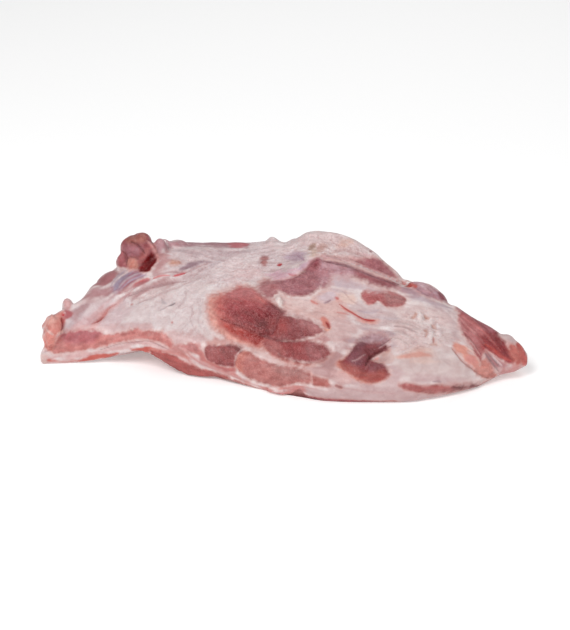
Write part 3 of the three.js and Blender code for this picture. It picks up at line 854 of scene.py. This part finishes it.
# %% Draw the veins, the blood and the rims
STROKES |= {
    "vein": (1, 0.25, "#B03B36", 1, 0, "339,304 344,308 350,312 358,316.5 366,319.6 376,320.3"),
    "vein_end": (1.3, 0.3, "#AE3330", 1, 0, "364,319 369,320.2 375,320.3"),
    "blood_wedge": (1.5, -0.8, "#8E1D21", 1, 0, "326,321.5 328,324 329.3,328.5"),
    "blood_orange": (1.2, 0.3, "#DFA08A", 1, 0, "323.5,328.5 327,330 331,328.5"),
    "blood_spot": (1.5, -0.4, "#BB5650", 1, 0, "335.5,297.3 337,298.5 338.5,299.5"),
    "blood_dot": (1.7, -0.6, "#B02A31", 1, 0, "277,265 282,264"),
    "band_blood": (1.3, -0.3, "#C98089", 1, 0, "288,273 292,275 297,275"),
    "pink_vein": (1.3, 0.2, "#D08078", 0.9, 0, "310.5,300.6 313.5,302 317.5,303.6"),
    "pink_vein_low": (0.9, 0.1, "#CB8680", 0.8, 0, "336,312.5 342,313.3 350,315.5"),
    "dark_marks": (1.1, -0.4, "#9C7F88", 0.8, 0, "324.5,302.5 328,301.3 331,300"),
    "tab_shadow": (1.8, -0.9, "#6A2A30", 0.8, 0.8, "272,305 276,307 281,309.5 286,311"),
    # Painted shadow: a dark line right under the lip where the hump's fat overhangs the band
    "crest_lip_shadow": (1.2, -0.8, "#80565D", 0.6, 0.6,
        "321,260.5 334,262.5 346,264.8 358,269.6 370,274.4 382,279 401,285.2"),
    "crest_lip": (0.9, 0.3, "#DDBFBC", 0.8, 0.8,
        "324,259 335,260.8 346,262.8 358,267.4 370,272.2 382,276.8 396,281.6"),
    # Painted shade: a dark band down the cheek's right edge, beside the second lobe
    "cheek_edge_shade": (3, -0.5, "#6E2F34", 0.65, 0.65, "281,308 279.5,317 276.5,326 272,335"),
    "band_rim": (1.2, -0.5, "#80444C", 0.7, 0.7, "319.5,259 314,261.5 309,266 302,273 294,279.5"),
}
print(len(STROKES), "strokes so far")

# %% Draw the streaks and shreds of the right half
STROKES |= {
    "hump_ring": (0.9, -0.3, "#C06466", 1, 0, "387.5,273.5 390.5,274 390.5,276.8 387.8,276.5"),
    "lilac_spot": (1.3, -0.4, "#A98CA0", 0.8, 0, "297,255 301,257.5 304.5,260"),
    "lump_streak_one": (1.1, 0.4, "#D6BEC3", 0.7, 0.7, "417,284 424,288 431,294"),
    "lump_streak_two": (0.9, 0.3, "#CDB0B7", 0.7, 0.7, "422,284 429,288.5 435,294.5"),
    "lump_streak_three": (0.9, -0.4, "#96707A", 0.6, 0.6, "413,286.5 420,291 428,296"),
    "lilac_line": (2.2, -0.25, "#BBA8AF", 0.8, 0, "358,310.5 365,311.8 372,311.8 379,309.5"),
    "lilac_line_low": (1.5, -0.2, "#C6B6BA", 0.8, 0, "372,317 380,317 390,319 400,318"),
    # The greyer tints of the fan lines are painted shade in their grooves
    "fan_one": (1.1, -0.45, "#C4AAA9", 1, 0, "394,326 403,326 410,328.7 418,333"),
    "fan_three": (1.1, -0.4, "#CBB4B2", 1, 0, "393,331 402,331.5 409,334.5 416,339"),
    "fan_five": (1.1, -0.35, "#CDB8B5", 1, 0, "392,337 400,339 406,342.5 411,347"),
    "fan_top": (1.1, -0.35, "#CEB9B7", 1, 0, "386,323.5 400,322.5 410,324 420,329"),
    # The pockets are painted shadows between the flakes of fat: grooves tinted tan-pink where shade falls
    "pocket_shadow_one": (1.7, -0.8, "#CDA497", 1, 0, "411,318 414.5,316.5 416.5,312"),
    "pocket_shadow_two": (1.7, -0.8, "#CFA79C", 1, 0, "424,315 426.5,318 429.5,318"),
    "pocket_shadow_three": (1.7, -0.8, "#CCA59B", 1, 0, "432,324.5 434,326 436,328.5"),
    "pocket_shadow_four": (1.6, -0.8, "#C6978C", 1, 0, "423.5,330.5 427.5,330.5 425.5,337"),
    "pocket_shadow_five": (1.3, -0.7, "#BE8D86", 1, 0, "433.8,337 433.6,343"),
    "pocket_shadow_six": (1.6, -0.5, "#D0A89C", 0.8, 0, "430,344.5 436,344 441,345.5"),
    "shred_one": (2.6, 0.55, "#E8DCDA", 1, 0, "419.3,312.5 419.8,317 420.5,322"),
    "shred_two": (2.4, 0.4, "#E6DAD8", 0.8, 0, "413,320.5 420,322.5 427,324 431,326.5"),
    "shred_three": (2, 0.3, "#DFCFD0", 0.7, 0, "437,323 440,330 440.5,337"),
    "shred_four": (2.6, 0.5, "#E8DCDB", 1, 0, "430.2,327 430.6,332 430,339"),
    "shred_five": (1.8, 0.3, "#E2D2D0", 0.7, 0, "437.5,340 438,343 441,346"),
    "cleft": (1.4, -1.5, "#6A2B2E", 0.9, 0.9,
        "386,347 380,351.5 374.7,354.8 369.7,358 367,363 364.7,367.5"),
    "cleft_edge": (0.8, 0.5, "#B98486", 0.4, 0.4, "365.3,371 367.5,366.5 371,362"),
}
print(len(STROKES), "strokes so far")

# %% Draw the strands of the pit, the front and the tip
STROKES |= {
    "strip_spots": (1.1, -0.2, "#A58A90", 0.8, 0, "432,382 438,381.5 442,382.5"),
    "crescent_glint": (0.9, 0.3, "#BF9A9C", 0.7, 0.7, "350.5,361.5 356,361 361,358 364.7,355.3"),
    "pit_strand_one": (1.1, -0.7, "#7A525C", 0.6, 0.6, "377,347 384,343 391.5,338"),
    "pit_strand_two": (1.2, -0.4, "#8E6E78", 0.6, 0, "372,343 378,340 384,335"),
    "pit_strand_three": (1, -0.5, "#8A4C50", 0.8, 0.8, "381,350 386,348 391,346"),
    "pit_white": (0.8, 0.5, "#C4AEB1", 0.7, 0.7, "379,349 385,344.5 391,341"),
    "band_line": (1, -0.2, "#BF9C9B", 0.8, 0.8, "342,388 352,389.5 364,391 378,392 394,394"),
    "white_strip": (1.8, 0.6, "#C99694", 1, 1,
        "178,347 185,350 191,356 201,363 213,367.5 226,373 240,377.5"),
    "rind_edge": (1.6, 0, "#96464E", 1, 1, "303,395 320,399 350,401 396,402"),
    "oval_rim": (1.1, 0.6, "#E2C8C0", 1, 0, "464,346 473.3,352.5 478,358 481,365"),
    "tip_crease": (1.1, -0.9, "#B07C78", 0.8, 0,
        "451.5,347 457,354 462.5,361 469,366.5 475,371 482.5,376 490,379"),
    "tip_streak_one": (0.9, -0.5, "#8E787C", 0.8, 0.8, "485,352.5 491,361 498.7,371.6"),
    "tip_streak_two": (0.9, -0.5, "#988488", 0.8, 0, "488,352.5 494,359 501,368"),
    "tip_streak_three": (0.8, 0.4, "#D3BABA", 1, 0, "491.5,355 497,361 503,367"),
    "tip_fibre_one": (1.2, 0.3, "#C48B8A", 0.7, 0.7, "459,317 468,327 477,337"),
    "tip_fibre_two": (1.1, -0.4, "#93494C", 0.7, 0.7, "463,331 472,342 481,354"),
    "tip_fibre_three": (1, 0.4, "#CC9D9A", 0.7, 0.7, "467,336 474,346 480,356"),
    "tip_fibre_four": (1.1, -0.4, "#8E4043", 0.6, 0.6, "476,333 482,341 487,349"),
    "tip_fibre_five": (1, 0.3, "#B97A79", 0.6, 0.6, "470,327 478,336 485,346"),
    "tip_fibre_six": (1.1, 0.3, "#BC6A66", 0.6, 0.6, "466,317 478,327 490,339 500,351"),
    "tip_fibre_seven": (1.1, -0.3, "#7C2D31", 0.6, 0.6, "472,318 486,329 498,342 508,356"),
    "tip_fibre_eight": (1.6, 0.3, "#BD544B", 0.7, 0.7, "484,344 492,349 502,357 512,361"),
    "tip_fibre_nine": (1.2, 0.3, "#B8646A", 0.6, 0.6, "458,310 468,317 477,324"),
}
print(len(STROKES), "strokes so far")

# %% Draw the marks on the hump, the curl and the gland
STROKES |= {
    "notch": (1.6, -1.5, "#B04A48", 1, 0, "402,281 406,284 411,286"),
    "hump_fold": (1.6, -0.8, "#CDB2B0", 1, 0, "330,253 342,250 356,253 370,259"),
    "hump_mark": (1, -0.3, "#9A6F70", 1, 0, "369,251 372,253"),
    "curl_crease": (1.7, -1.1, "#9A3232", 0.9, 0.9, "62,316 63.3,321 63.5,327 60.5,332"),
    "curl_blood": (2, -0.6, "#BE222C", 1, 0, "62,315 64.5,313.8"),
    "curl_edge": (1, 0.5, "#E2C2BB", 1, 0, "46.5,329 50,332 54,335"),
    "curl_edge_right": (1, 0.5, "#DDB2A8", 1, 0, "56.5,334 60,332.5 63.5,330.5"),
    "gland_seam_left": (1.2, -1, "#7E4347", 0.7, 0.7, "121,250.5 125,254 126.5,259 126,266"),
    "gland_seam_low": (1.1, -0.6, "#8E5150", 0.5, 0.5, "127,258.5 133,257.5 139,260"),
    # Painted shadow: a dark line along the fold across the gland's front
    "gland_fold_shadow": (1.3, -1.1, "#74383E", 0.8, 0.8, "131,241.5 137,243.5 141,247.5 145,253"),
    "gland_film": (2, 0.9, "#CF9896", 1, 1, "147,241 152,247 156,254 158.5,262"),
    "lilac_streak_one": (1.2, -0.4, "#A596A8", 1, 0, "113,291 119,282 126,275 133,271"),
    "lilac_streak_two": (1.1, 0.4, "#B9A6AE", 1, 0, "118,289 125,281 134,275 142,272"),
    "lilac_streak_three": (1.1, -0.4, "#B5A2B2", 1, 0, "122,288 130,281 138,277 147,273"),
    "lilac_streak_four": (1.1, 0.4, "#B3A0A9", 1, 0, "110,287 115,280 121,274 127,270"),
    "red_dot_low": (1.3, -0.2, "#CF8A84", 1, 0, "171,322 173,322.5"),
    "red_dot_high": (1.2, -0.2, "#C99694", 1, 0, "130.5,304.5 133,304"),
}
print(len(STROKES), "strokes with a tint")

# %% Draw the strokes without a tint
# Each one: half the width in pixels, the height in millimetres and the path
BARE_STROKES = {
    "fold_ridge": (3, 1.2, "132,292 146,285 164,279 184,276 204,268"),
    "wrinkle_two": (1.3, -0.25, "190,305 193,312 190,319 194,328"),
    "wrinkle_ridge": (1.5, 0.3, "194,303 197,312 194,321 198,331"),
    "tab_ridge": (2.4, 1, "278,295.5 280,301 281,306.5"),
    "crest_ridge": (2, 0.9, "326,258 336,259.2 347,261.2 359,266 371,270.8 383,275.4 398,281"),
    "fan_two": (1.6, 0.45, "393,328.5 402,328.5 410,331 417.5,335.5"),
    "fan_four": (1.6, 0.45, "393,334 401,335 408,338 414,342.5"),
    "tongue_fold": (1.4, -0.25, "344,292 352,300 366,309 384,313"),
    "smear_edge": (1.3, 0.8, "400,354 411,349 420,344 430,346"),
    "curl_roll": (5, 1.6, "52,316 53,326 50,337 49,348"),
    "front_bulge": (6, 2.2, "268,390 276,392 284,393"),
}
print(len(BARE_STROKES), "bare strokes")

# %% Lay the strokes on the skin
stroked = np.zeros(count)
for half, height, tint, on_fat, on_lean, path in STROKES.values():
    profile = seen * stroke_profile(pixels, path, half)
    relief += height * profile
    blend_tint(fat_tint, tint, profile * on_fat)
    blend_tint(lean_tint, tint, profile * on_lean)
    stroked = np.maximum(stroked, profile * on_fat)
for half, height, path in BARE_STROKES.values():
    relief += height * (seen * stroke_profile(pixels, path, half))
print("relief from", round(relief.min(), 2), "to", round(relief.max(), 2), "mm")

# %% [markdown]
# ## The side that the picture hides
# Nothing shows the back, so it is finished like what does show: a trimmed wall of fat with layers of lean
# cut across, as bacon has them, and pinker towards the table where the rind was. A layer runs at a share of
# the wall's height, and slow noise along the jowl sways it, swells it and lets it run out. The gland and
# the tip are lean all round.

# %% Find the top of the wall along the jowl
WALL_STEP_MM = 6
WALL_SHARE = 90
WALL_SMOOTH = 11

steps = np.arange(cad_box[0][0] / MM, cad_box[1][0] / MM + WALL_STEP_MM, WALL_STEP_MM)
step_of = np.digitize(places[:, 0], steps)
step_tops = [np.percentile(places[step_of == n, 2], WALL_SHARE) for n in range(1, len(steps))]
even_share = np.full(WALL_SMOOTH, 1 / WALL_SMOOTH)
even_tops = np.convolve(np.pad(step_tops, WALL_SMOOTH // 2, "edge"), even_share, "valid")
wall_top = np.interp(places[:, 0], steps[:-1] + WALL_STEP_MM / 2, even_tops)
print("wall up to", round(max(step_tops), 1), "mm")

# %% Draw the back
BACK_LAYERS = [
    {"name": "low_layer", "tint": "#AE6C68", "share": 0.22, "thick_mm": 12, "shift": 3.2},
    {"name": "middle_layer", "tint": "#A25E5E", "share": 0.5, "thick_mm": 10, "shift": 17.7},
    {"name": "high_layer", "tint": "#9C5A5D", "share": 0.78, "thick_mm": 9, "shift": 29.4},
]
LEAN_ENDS = [
    {"name": "gland", "tint": "#A4686A", "middle": (-106, 39, 63), "half_mm": (16, 17, 13)},
    {"name": "tip", "tint": "#AA5F5E", "middle": (156, -4, 14), "half_mm": (26, 30, 14)},
]
SWAY_MM = 60
SWELL_MM = 34
# Shares of the wall's height and of a layer's thickness
SWAY_SHARE = 0.12
MEAN_SHARE = 0.35
SWELL_SHARE = 1.8
LAYER_SOFT_MM = 2.4
LAYER_RISE_MM = 0.8
LOBE_MM = 10
LOBE_RISE_MM = 3
# Painted light: the fat of the back is tinted lighter than the front's, to make up for the shade on that
# side
LIGHTENED_BACK_FAT = "#E8D7D4"
BACK_MEMBRANE = "#D6BCBD"
MEMBRANE_MM = 20
RIND_TINT = "#CC9C96"
RIND_HEIGHT_MM = 9
RIND_STRENGTH = 0.8
BACK_STRENGTH = 0.6
HIDDEN_LEAST = 0.3


def slow_noise(length_mm, shift):
    """Noise along the jowl, about -1 to 1, for every vertex."""
    return np.array([noise.noise((x / length_mm, shift, 0)) for x in places[:, 0]])


def add_hidden_lean(depth, soft, tint, weight):
    """Lean on what the picture hides, given how deep inside it each vertex lies."""
    hidden_edge = np.where(weight > HIDDEN_LEAST, depth / soft, -EDGE_LIMIT)
    blend_tint(lean_tint, tint, weight * fade(depth, -soft - 1, soft))
    return np.maximum(lean_edge, np.clip(hidden_edge, -EDGE_LIMIT, EDGE_LIMIT))


for layer in BACK_LAYERS:
    sway = slow_noise(SWAY_MM, layer["shift"])
    swell = slow_noise(SWELL_MM, layer["shift"] + 5)
    middle = wall_top * (layer["share"] + SWAY_SHARE * sway)
    half = layer["thick_mm"] / 2 * (MEAN_SHARE + SWELL_SHARE * swell)
    depth = half - np.abs(places[:, 2] - middle) + wobble * 0.8
    lean_edge = add_hidden_lean(depth, LAYER_SOFT_MM, layer["tint"], behind)
    relief += LAYER_RISE_MM * behind * fade(depth, -1, LAYER_SOFT_MM)
for end in LEAN_ENDS:
    reach = np.linalg.norm((places - end["middle"]) / end["half_mm"], axis=1)
    depth = (1 - reach) * min(end["half_mm"]) + wobble
    lean_edge = add_hidden_lean(depth, LAYER_SOFT_MM, end["tint"], 1 - seen)
    lobes = np.abs(grain(LOBE_MM, shift=71)) * (1 - seen) * fade(depth, 0, LOBE_MM / 2)
    relief += LOBE_RISE_MM * lobes
low = (1 - seen) * (1 - fade(places[:, 2] + wobble * 2, RIND_HEIGHT_MM * 0.3, RIND_HEIGHT_MM))
membrane = fade(grain(MEMBRANE_MM, shift=51) + 0.5 * broad_weave, 0.1, 0.5)
blend_tint(fat_tint, RIND_TINT, low * RIND_STRENGTH)
# Painted light: the fat facing away is lightened
blend_tint(fat_tint, LIGHTENED_BACK_FAT, behind * BACK_STRENGTH)
blend_tint(fat_tint, BACK_MEMBRANE, behind * membrane * BACK_STRENGTH)
print(len(BACK_LAYERS), "layers and", len(LEAN_ENDS), "lean ends on the back")

# %% [markdown]
# ## Press the relief into the skin
# Some of the fat is pulled smooth and some is crumpled, so outlines say where the creases are strong.
# Muscle domes, folds and slits are added along the skin's normals, with the woven creases and soft lumps
# over all of it, since fat is never even. Lean is tighter, so it gets less of them. The flat underside is
# left alone, so that the jowl still rests on the table. Shade is then painted into the hollows by their
# depth: the fat there is tinted pinker and darker, and the lean a little darker.

# %% Say where the fat is crumpled
# Each patch: the softness of its edge in pixels, the strength of its creases and its outline
CRUMPLED = {
    "top_plane": (8, 0.6, "170,262 190,246 260,244 310,244 300,268 250,284 214,286"),
    "hump": (6, 0.7, "300,240 332,232 366,250 392,272 360,266 322,256"),
    "middle": (10, 0.35, "146,302 160,288 190,280 206,292 206,326 190,336 166,328 150,318"),
    "folds": (8, 0.5, "118,296 140,280 180,268 214,258 216,270 190,284 150,300 130,304"),
    "right_shreds": (8, 0.45, "384,318 412,308 440,314 446,336 430,348 400,346 384,336"),
    "tongue": (6, 0.3, "280,298 330,296 350,310 380,316 372,326 330,322 290,312"),
    "mound": (10, 0.04, "392,362 420,350 448,352 474,374 460,386 420,386 396,384"),
    "cheek": (6, 0.95, "216,303 230,292 252,290 270,302 284,312 280,334 262,346 240,338 222,322"),
    "upper_band": (4, 0.85, "266,288 284,282 304,272 317,258 332,266 326,284 304,294 284,294"),
    "lobes": (4, 0.6, "270,326 284,316 304,319 324,330 326,346 328,356 306,362 280,356 266,346"),
    "front_band": (4, 0.65, "236,366 240,354 256,358 280,367 308,374 308,382 284,384 258,378"),
    "small_lean": (4, 0.6, "204,352 207,346 222,345 240,348 235,360 231,367 214,363"),
    "curl": (4, 0.5, "42,324 48,317 64,310 64,330 57,352 44,354"),
    "oval": (3, 0.7, "362,296 372,291 390,292 405,299 400,306 380,303 368,304"),
    "front_edge": (6, 0.12, "240,376 290,386 330,384 396,388 400,402 300,402 240,392"),
}
PLAIN_CREASES = 0.22
BACK_CREASES = 0.25

strength = PLAIN_CREASES + BACK_CREASES * behind
for soft, crumpling, outline in CRUMPLED.values():
    inside = seen * fade(depth_inside(pixels, outline), -soft, soft)
    strength += (crumpling - strength) * inside
print(len(CRUMPLED), "crumpled patches, creases at", round(float(strength.mean()), 3), "on average")

# %% Move the vertices
CREASE_WIDTH = 0.09
CREASE_DEPTH_MM = 0.4
BROAD_RISE_MM = 0.6
FINE_RISE_MM = 0.4
LUMP_MM = 13
LUMP_RISE_MM = 0.7
LEAN_CALM = 0.6
# Heights above the table between which the relief sets in
REST_FADE_MM = (0.3, 2.5)

is_lean = fade(lean_edge, -1, 1)
creases = np.exp(-((broad_weave / CREASE_WIDTH) ** 2)) + 0.5 * np.exp(-((fine_weave / CREASE_WIDTH) ** 2))
woven = BROAD_RISE_MM * broad_weave + FINE_RISE_MM * fine_weave - CREASE_DEPTH_MM * creases
crumple = LUMP_RISE_MM * grain(LUMP_MM, shift=3) + strength * woven
clear_of_table = fade(places[:, 2], *REST_FADE_MM)
rises = (relief + crumple * (1 - LEAN_CALM * is_lean)) * clear_of_table
places += normals * rises[:, None]
places[:, 2] = np.maximum(places[:, 2], 0)
flesh_mesh.vertices.foreach_set("co", (places * MM).astype(np.float32).ravel())
flesh_mesh.update()
print("pressed", count, "vertices by", round(rises.min(), 2), "to", round(rises.max(), 2), "mm")

# %% Paint shade into the hollows, draw fibres and store the paint on the vertices
HOLLOW_ROUNDS = 3
HOLLOW_MM = 0.22
# Painted shade: the tints that darken fat and lean where they lie in a hollow
FAT_HOLLOW_SHADE = "#E8DCDD"
LEAN_HOLLOW_SHADE = "#E4E6E6"
FAT_FIBRES = 0.2
LEAN_FIBRES = 0.25
FIBRE_LIMIT = 0.6

edges = np.empty(len(flesh_mesh.edges) * 2, np.int32)
flesh_mesh.edges.foreach_get("vertices", edges)
one, other = edges.reshape(-1, 2).T
degree = np.bincount(np.concatenate((one, other)), minlength=count)[:, None]
smooth_places = places
for _ in range(HOLLOW_ROUNDS):
    total = np.empty_like(smooth_places)
    for axis in range(3):
        column = smooth_places[:, axis]
        total[:, axis] = np.bincount(one, column[other], count) + np.bincount(other, column[one], count)
    smooth_places = total / degree
# How deep in a hollow each vertex lies sets its painted shade; strokes keep their own tint
hollow = fade(((smooth_places - places) * normals).sum(1), 0, HOLLOW_MM) * (1 - stroked)
fat_tint *= 1 + (linear(FAT_HOLLOW_SHADE) - 1) * hollow[:, None]
lean_tint *= 1 + (linear(LEAN_HOLLOW_SHADE) - 1) * hollow[:, None]
fat_tint *= 1 + FAT_FIBRES * (strength * np.clip(fine_weave, -FIBRE_LIMIT, FIBRE_LIMIT))[:, None]
lean_tint *= 1 + LEAN_FIBRES * np.clip(lean_fibres, -FIBRE_LIMIT, FIBRE_LIMIT)[:, None]

for name, tints in {"fat_tint": fat_tint, "lean_tint": lean_tint}.items():
    attribute = flesh_mesh.attributes.new(name, "FLOAT_COLOR", "POINT")
    attribute.data.foreach_set("color", np.hstack((tints, np.ones((count, 1)))).astype(np.float32).ravel())
for name, values in {"lean_edge": lean_edge, "creased": strength}.items():
    attribute = flesh_mesh.attributes.new(name, "FLOAT", "POINT")
    attribute.data.foreach_set("value", values.astype(np.float32))
print("hollows on", round(float((hollow > 0.5).mean()), 3), "of the skin")

# %% [markdown]
# ## Raw pork
# Raw pork is moist: its surface is smooth and a little glossy, with an index of refraction near water's,
# and light sinks a millimetre or two into it. One material shows both tissues, mixed along the painted edge
# of the lean. Where the edge is soft a thin film of fat lets the muscle through, which looks salmon, so
# that colour is mixed in between. Fat gets soft mottling, fibres and winding veins, and lean gets pale
# seams between its bundles, which also serve as a painted wet glint, and flecks of marbling. A few small
# functions name what each node is for, so the steps below stay short.

# %% Start the material and write helpers for its nodes
# Moist fat and muscle grown together
pork = bpy.data.materials.new("raw_pork")
pork.use_nodes = True
tree = pork.node_tree
tree.nodes.clear()


def add(kind, inputs=None, **settings):
    """Adds one node with its settings, and with values or links for its inputs."""
    node = tree.nodes.new(kind)
    for name, value in settings.items():
        setattr(node, name, value)
    for key, value in (inputs or {}).items():
        if isinstance(value, bpy.types.NodeSocket):
            tree.links.new(value, node.inputs[key])
        else:
            node.inputs[key].default_value = value
    return node


def rgba(hex_code):
    """A hex colour as a shader takes it."""
    return (*linear(hex_code), 1)


def painted(name, output):
    """What the vertices store under a name."""
    return add("ShaderNodeAttribute", attribute_name=name).outputs[output]


def pattern(size_mm, **inputs):
    """Noise from 0 to 1 with lumps of a given size."""
    return add("ShaderNodeTexNoise", {"Vector": in_mm, "Scale": 1 / size_mm, **inputs}).outputs[0]


def computed(operation, *values):
    """One step of arithmetic."""
    return add("ShaderNodeMath", dict(enumerate(values)), operation=operation).outputs[0]


def from_middle(value):
    """How far a pattern is from its middle, which is 0 along thin winding lines."""
    return computed("ABSOLUTE", computed("SUBTRACT", value, 0.5))


def ramp(value, low, high, start=0.0, end=1.0, kind="LINEAR"):
    """Start where a value is low, end where it is high, and a ramp between."""
    inputs = {"Value": value, "From Min": low, "From Max": high, "To Min": start, "To Max": end}
    return add("ShaderNodeMapRange", inputs, interpolation_type=kind).outputs[0]


def mixed(share, colour, other, blend="MIX"):
    """A colour carried towards another by a share."""
    other = rgba(other) if isinstance(other, str) else other
    inputs = {0: share, 6: colour, 7: other}
    return add("ShaderNodeMix", inputs, data_type="RGBA", blend_type=blend).outputs[2]


place = add("ShaderNodeTexCoord").outputs["Object"]
in_mm = add("ShaderNodeVectorMath", {0: place, "Scale": 1 / MM}, operation="SCALE").outputs[0]
creased = painted("creased", "Fac")
print("raw pork starts with", len(tree.nodes), "nodes")

# %% Colour the fat
MOTTLE_MM = 6
FAT_FIBRE_MM = 1.2
FAT_VEIN_MM = 7
FAT_GRAIN_MM = 3.5
VEIN_WIDTH = 0.045
# The middle of a noise, where most of its values lie
NOISE_MIDDLE = (0.35, 0.65)

mottle = pattern(MOTTLE_MM, Detail=5, Distortion=0.6)
mottled_fat = mixed(ramp(mottle, *NOISE_MIDDLE), painted("fat_tint", "Color"), "#F0E8E8", "MULTIPLY")
fibre_share = ramp(pattern(FAT_FIBRE_MM, Detail=2), *NOISE_MIDDLE, end=creased)
fibred_fat = mixed(fibre_share, mottled_fat, "#E9E0E0", "MULTIPLY")
vein_gap = from_middle(pattern(FAT_VEIN_MM, Detail=2, Distortion=1.4))
vein_share = ramp(vein_gap, 0, VEIN_WIDTH, start=creased, end=0)
veined_fat = mixed(vein_share, fibred_fat, "#E6D7D8", "MULTIPLY")
fat_height = computed("MULTIPLY", pattern(FAT_GRAIN_MM, Detail=4), creased)
print("with the fat", len(tree.nodes), "nodes")

# %% Colour the lean
LEAN_TONE_MM = 5
BUNDLE_MM = 3.2
LEAN_GRAIN_MM = 1.3
SEAM_WIDTH = 0.08
SEAM_RIDGE = 0.1
FLECKS = (0.55, 0.8)

tone_share = ramp(pattern(LEAN_TONE_MM, Detail=3), *NOISE_MIDDLE)
toned_lean = mixed(tone_share, painted("lean_tint", "Color"), "#E4CDCC", "MULTIPLY")
seam_gap = from_middle(pattern(BUNDLE_MM, Detail=1, Distortion=1.8))
# The pale seams between bundles are partly connective tissue and partly a painted wet glint
seam_and_glint_share = ramp(seam_gap, 0, SEAM_WIDTH, start=creased, end=0)
seamed_and_glinting_lean = mixed(seam_and_glint_share, toned_lean, "#80504F", "SCREEN")
fleck_share = ramp(pattern(LEAN_GRAIN_MM, Detail=3, Roughness=0.6), *FLECKS, end=0.16)
marbled_lean = mixed(fleck_share, seamed_and_glinting_lean, "#CF9C96")
lean_height = ramp(seam_gap, 0, SEAM_RIDGE, start=0.45, end=0)
print("with the lean", len(tree.nodes), "nodes")

# %% Join fat and lean along the painted edge
EDGE_GRAIN_MM = 2.5
UNEVEN = 1.2
FILM_EDGE = (-1.8, 0.2)
FILM_MOST = 0.35
GLOSSY = 0.28
DULL = 0.5

uneven_edge = computed("MULTIPLY_ADD", pattern(EDGE_GRAIN_MM, Detail=1), UNEVEN, -UNEVEN / 2)
rough_edge = computed("ADD", painted("lean_edge", "Fac"), uneven_edge)
lean_share = ramp(rough_edge, -1, 1, kind="SMOOTHSTEP")
film_share = ramp(rough_edge, *FILM_EDGE, end=FILM_MOST, kind="SMOOTHSTEP")
filmed_fat = mixed(film_share, veined_fat, "#D59E93")
colour = mixed(lean_share, filmed_fat, marbled_lean)
gloss = ramp(mottle, 0, 1, start=GLOSSY, end=DULL)
height = add("ShaderNodeMix", {0: lean_share, 2: fat_height, 3: lean_height}, data_type="FLOAT").outputs[0]
bump = add("ShaderNodeBump", {"Height": height, "Strength": 0.45, "Distance": 1.0 * MM}).outputs[0]
shader = add(
    "ShaderNodeBsdfPrincipled",
    {
        "Base Color": colour,
        "Roughness": gloss,
        "IOR": 1.38,
        "Normal": bump,
        "Subsurface Weight": 0.08,
        "Subsurface Radius": (1.0, 0.4, 0.3),
        "Subsurface Scale": 1.5 * MM,
    },
)
add("ShaderNodeOutputMaterial", {"Surface": shader.outputs[0]})
print("raw pork has", len(tree.nodes), "nodes")

# %% Put the flesh in the place of the solid
flesh = bpy.data.objects.new("jowl_flesh", flesh_mesh)
flesh_mesh.materials.clear()
flesh_mesh.materials.append(pork)
bpy.context.scene.collection.objects.link(flesh)
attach(flesh, "root")
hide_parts("jowl")
print("flesh rides on root and stands for the solid")

# %% [markdown]
# ## Floor and light
# The picture has a white ground and light so soft that shadows hardly show. A wide white floor, a bright
# world and large softboxes do that: the key stands above the camera to the left, and a fill on the right
# keeps the far side from going dark.

# %% Lay the floor
FLOOR_M = 6

floor_bmesh = bmesh.new()
bmesh.ops.create_grid(floor_bmesh, x_segments=1, y_segments=1, size=FLOOR_M)
floor_mesh = bpy.data.meshes.new("floor")
floor_bmesh.to_mesh(floor_mesh)
floor_bmesh.free()
floor = bpy.data.objects.new("floor", floor_mesh)
# Matt paper with a little glow of its own, so that shadows on it stay pale
paper = bpy.data.materials.new("white_paper")
paper.use_nodes = True
tree = paper.node_tree
tree.nodes.clear()
paper_look = {"Base Color": rgba("#F7F7F7"), "Roughness": 0.9}
paper_glow = {"Emission Color": rgba("#FFFFFF"), "Emission Strength": 0.22}
paper_shader = add("ShaderNodeBsdfPrincipled", {**paper_look, **paper_glow})
add("ShaderNodeOutputMaterial", {"Surface": paper_shader.outputs[0]})
floor_mesh.materials.append(paper)
bpy.context.scene.collection.objects.link(floor)
print("floor", 2 * FLOOR_M, "m wide")

# %% Hang the lights
SOFTBOXES = {
    "key": {"place": (-0.6, -1.0, 1.3), "size": 0.8, "watts": 18.8},
    "fill": {"place": (1.2, -0.8, 0.9), "size": 1.0, "watts": 5.5},
    "back": {"place": (0.2, 1.2, 1.4), "size": 1.0, "watts": 6},
}
for name, box in SOFTBOXES.items():
    light = bpy.data.lights.new(name, "AREA")
    light.energy = box["watts"]
    light.size = box["size"]
    lamp = bpy.data.objects.new(name, light)
    lamp.location = box["place"]
    lamp.rotation_euler = (-Vector(box["place"])).to_track_quat("-Z", "Y").to_euler()
    bpy.context.scene.collection.objects.link(lamp)
print(len(SOFTBOXES), "softboxes over the floor")

# %% Light the room all round
WORLD_STRENGTH = 0.33
# What low views see behind the floor is as light as the floor's far end, so no horizon shows
BACKDROP = "#C2C2C2"

world = bpy.data.worlds.new("studio")
world.use_nodes = True
tree = world.node_tree
tree.nodes.clear()
soft_light = add("ShaderNodeBackground", {"Color": rgba("#FFFFFF"), "Strength": WORLD_STRENGTH}).outputs[0]
backdrop = add("ShaderNodeBackground", {"Color": rgba(BACKDROP), "Strength": 1}).outputs[0]
directly_seen = add("ShaderNodeLightPath").outputs["Is Camera Ray"]
ground = add("ShaderNodeMixShader", {0: directly_seen, 1: soft_light, 2: backdrop}).outputs[0]
add("ShaderNodeOutputWorld", {"Surface": ground})
bpy.context.scene.world = world
bpy.context.scene.view_settings.view_transform = "Standard"
print("room lit with strength", WORLD_STRENGTH)

# %% Update the scene and finish
bpy.context.view_layer.update()
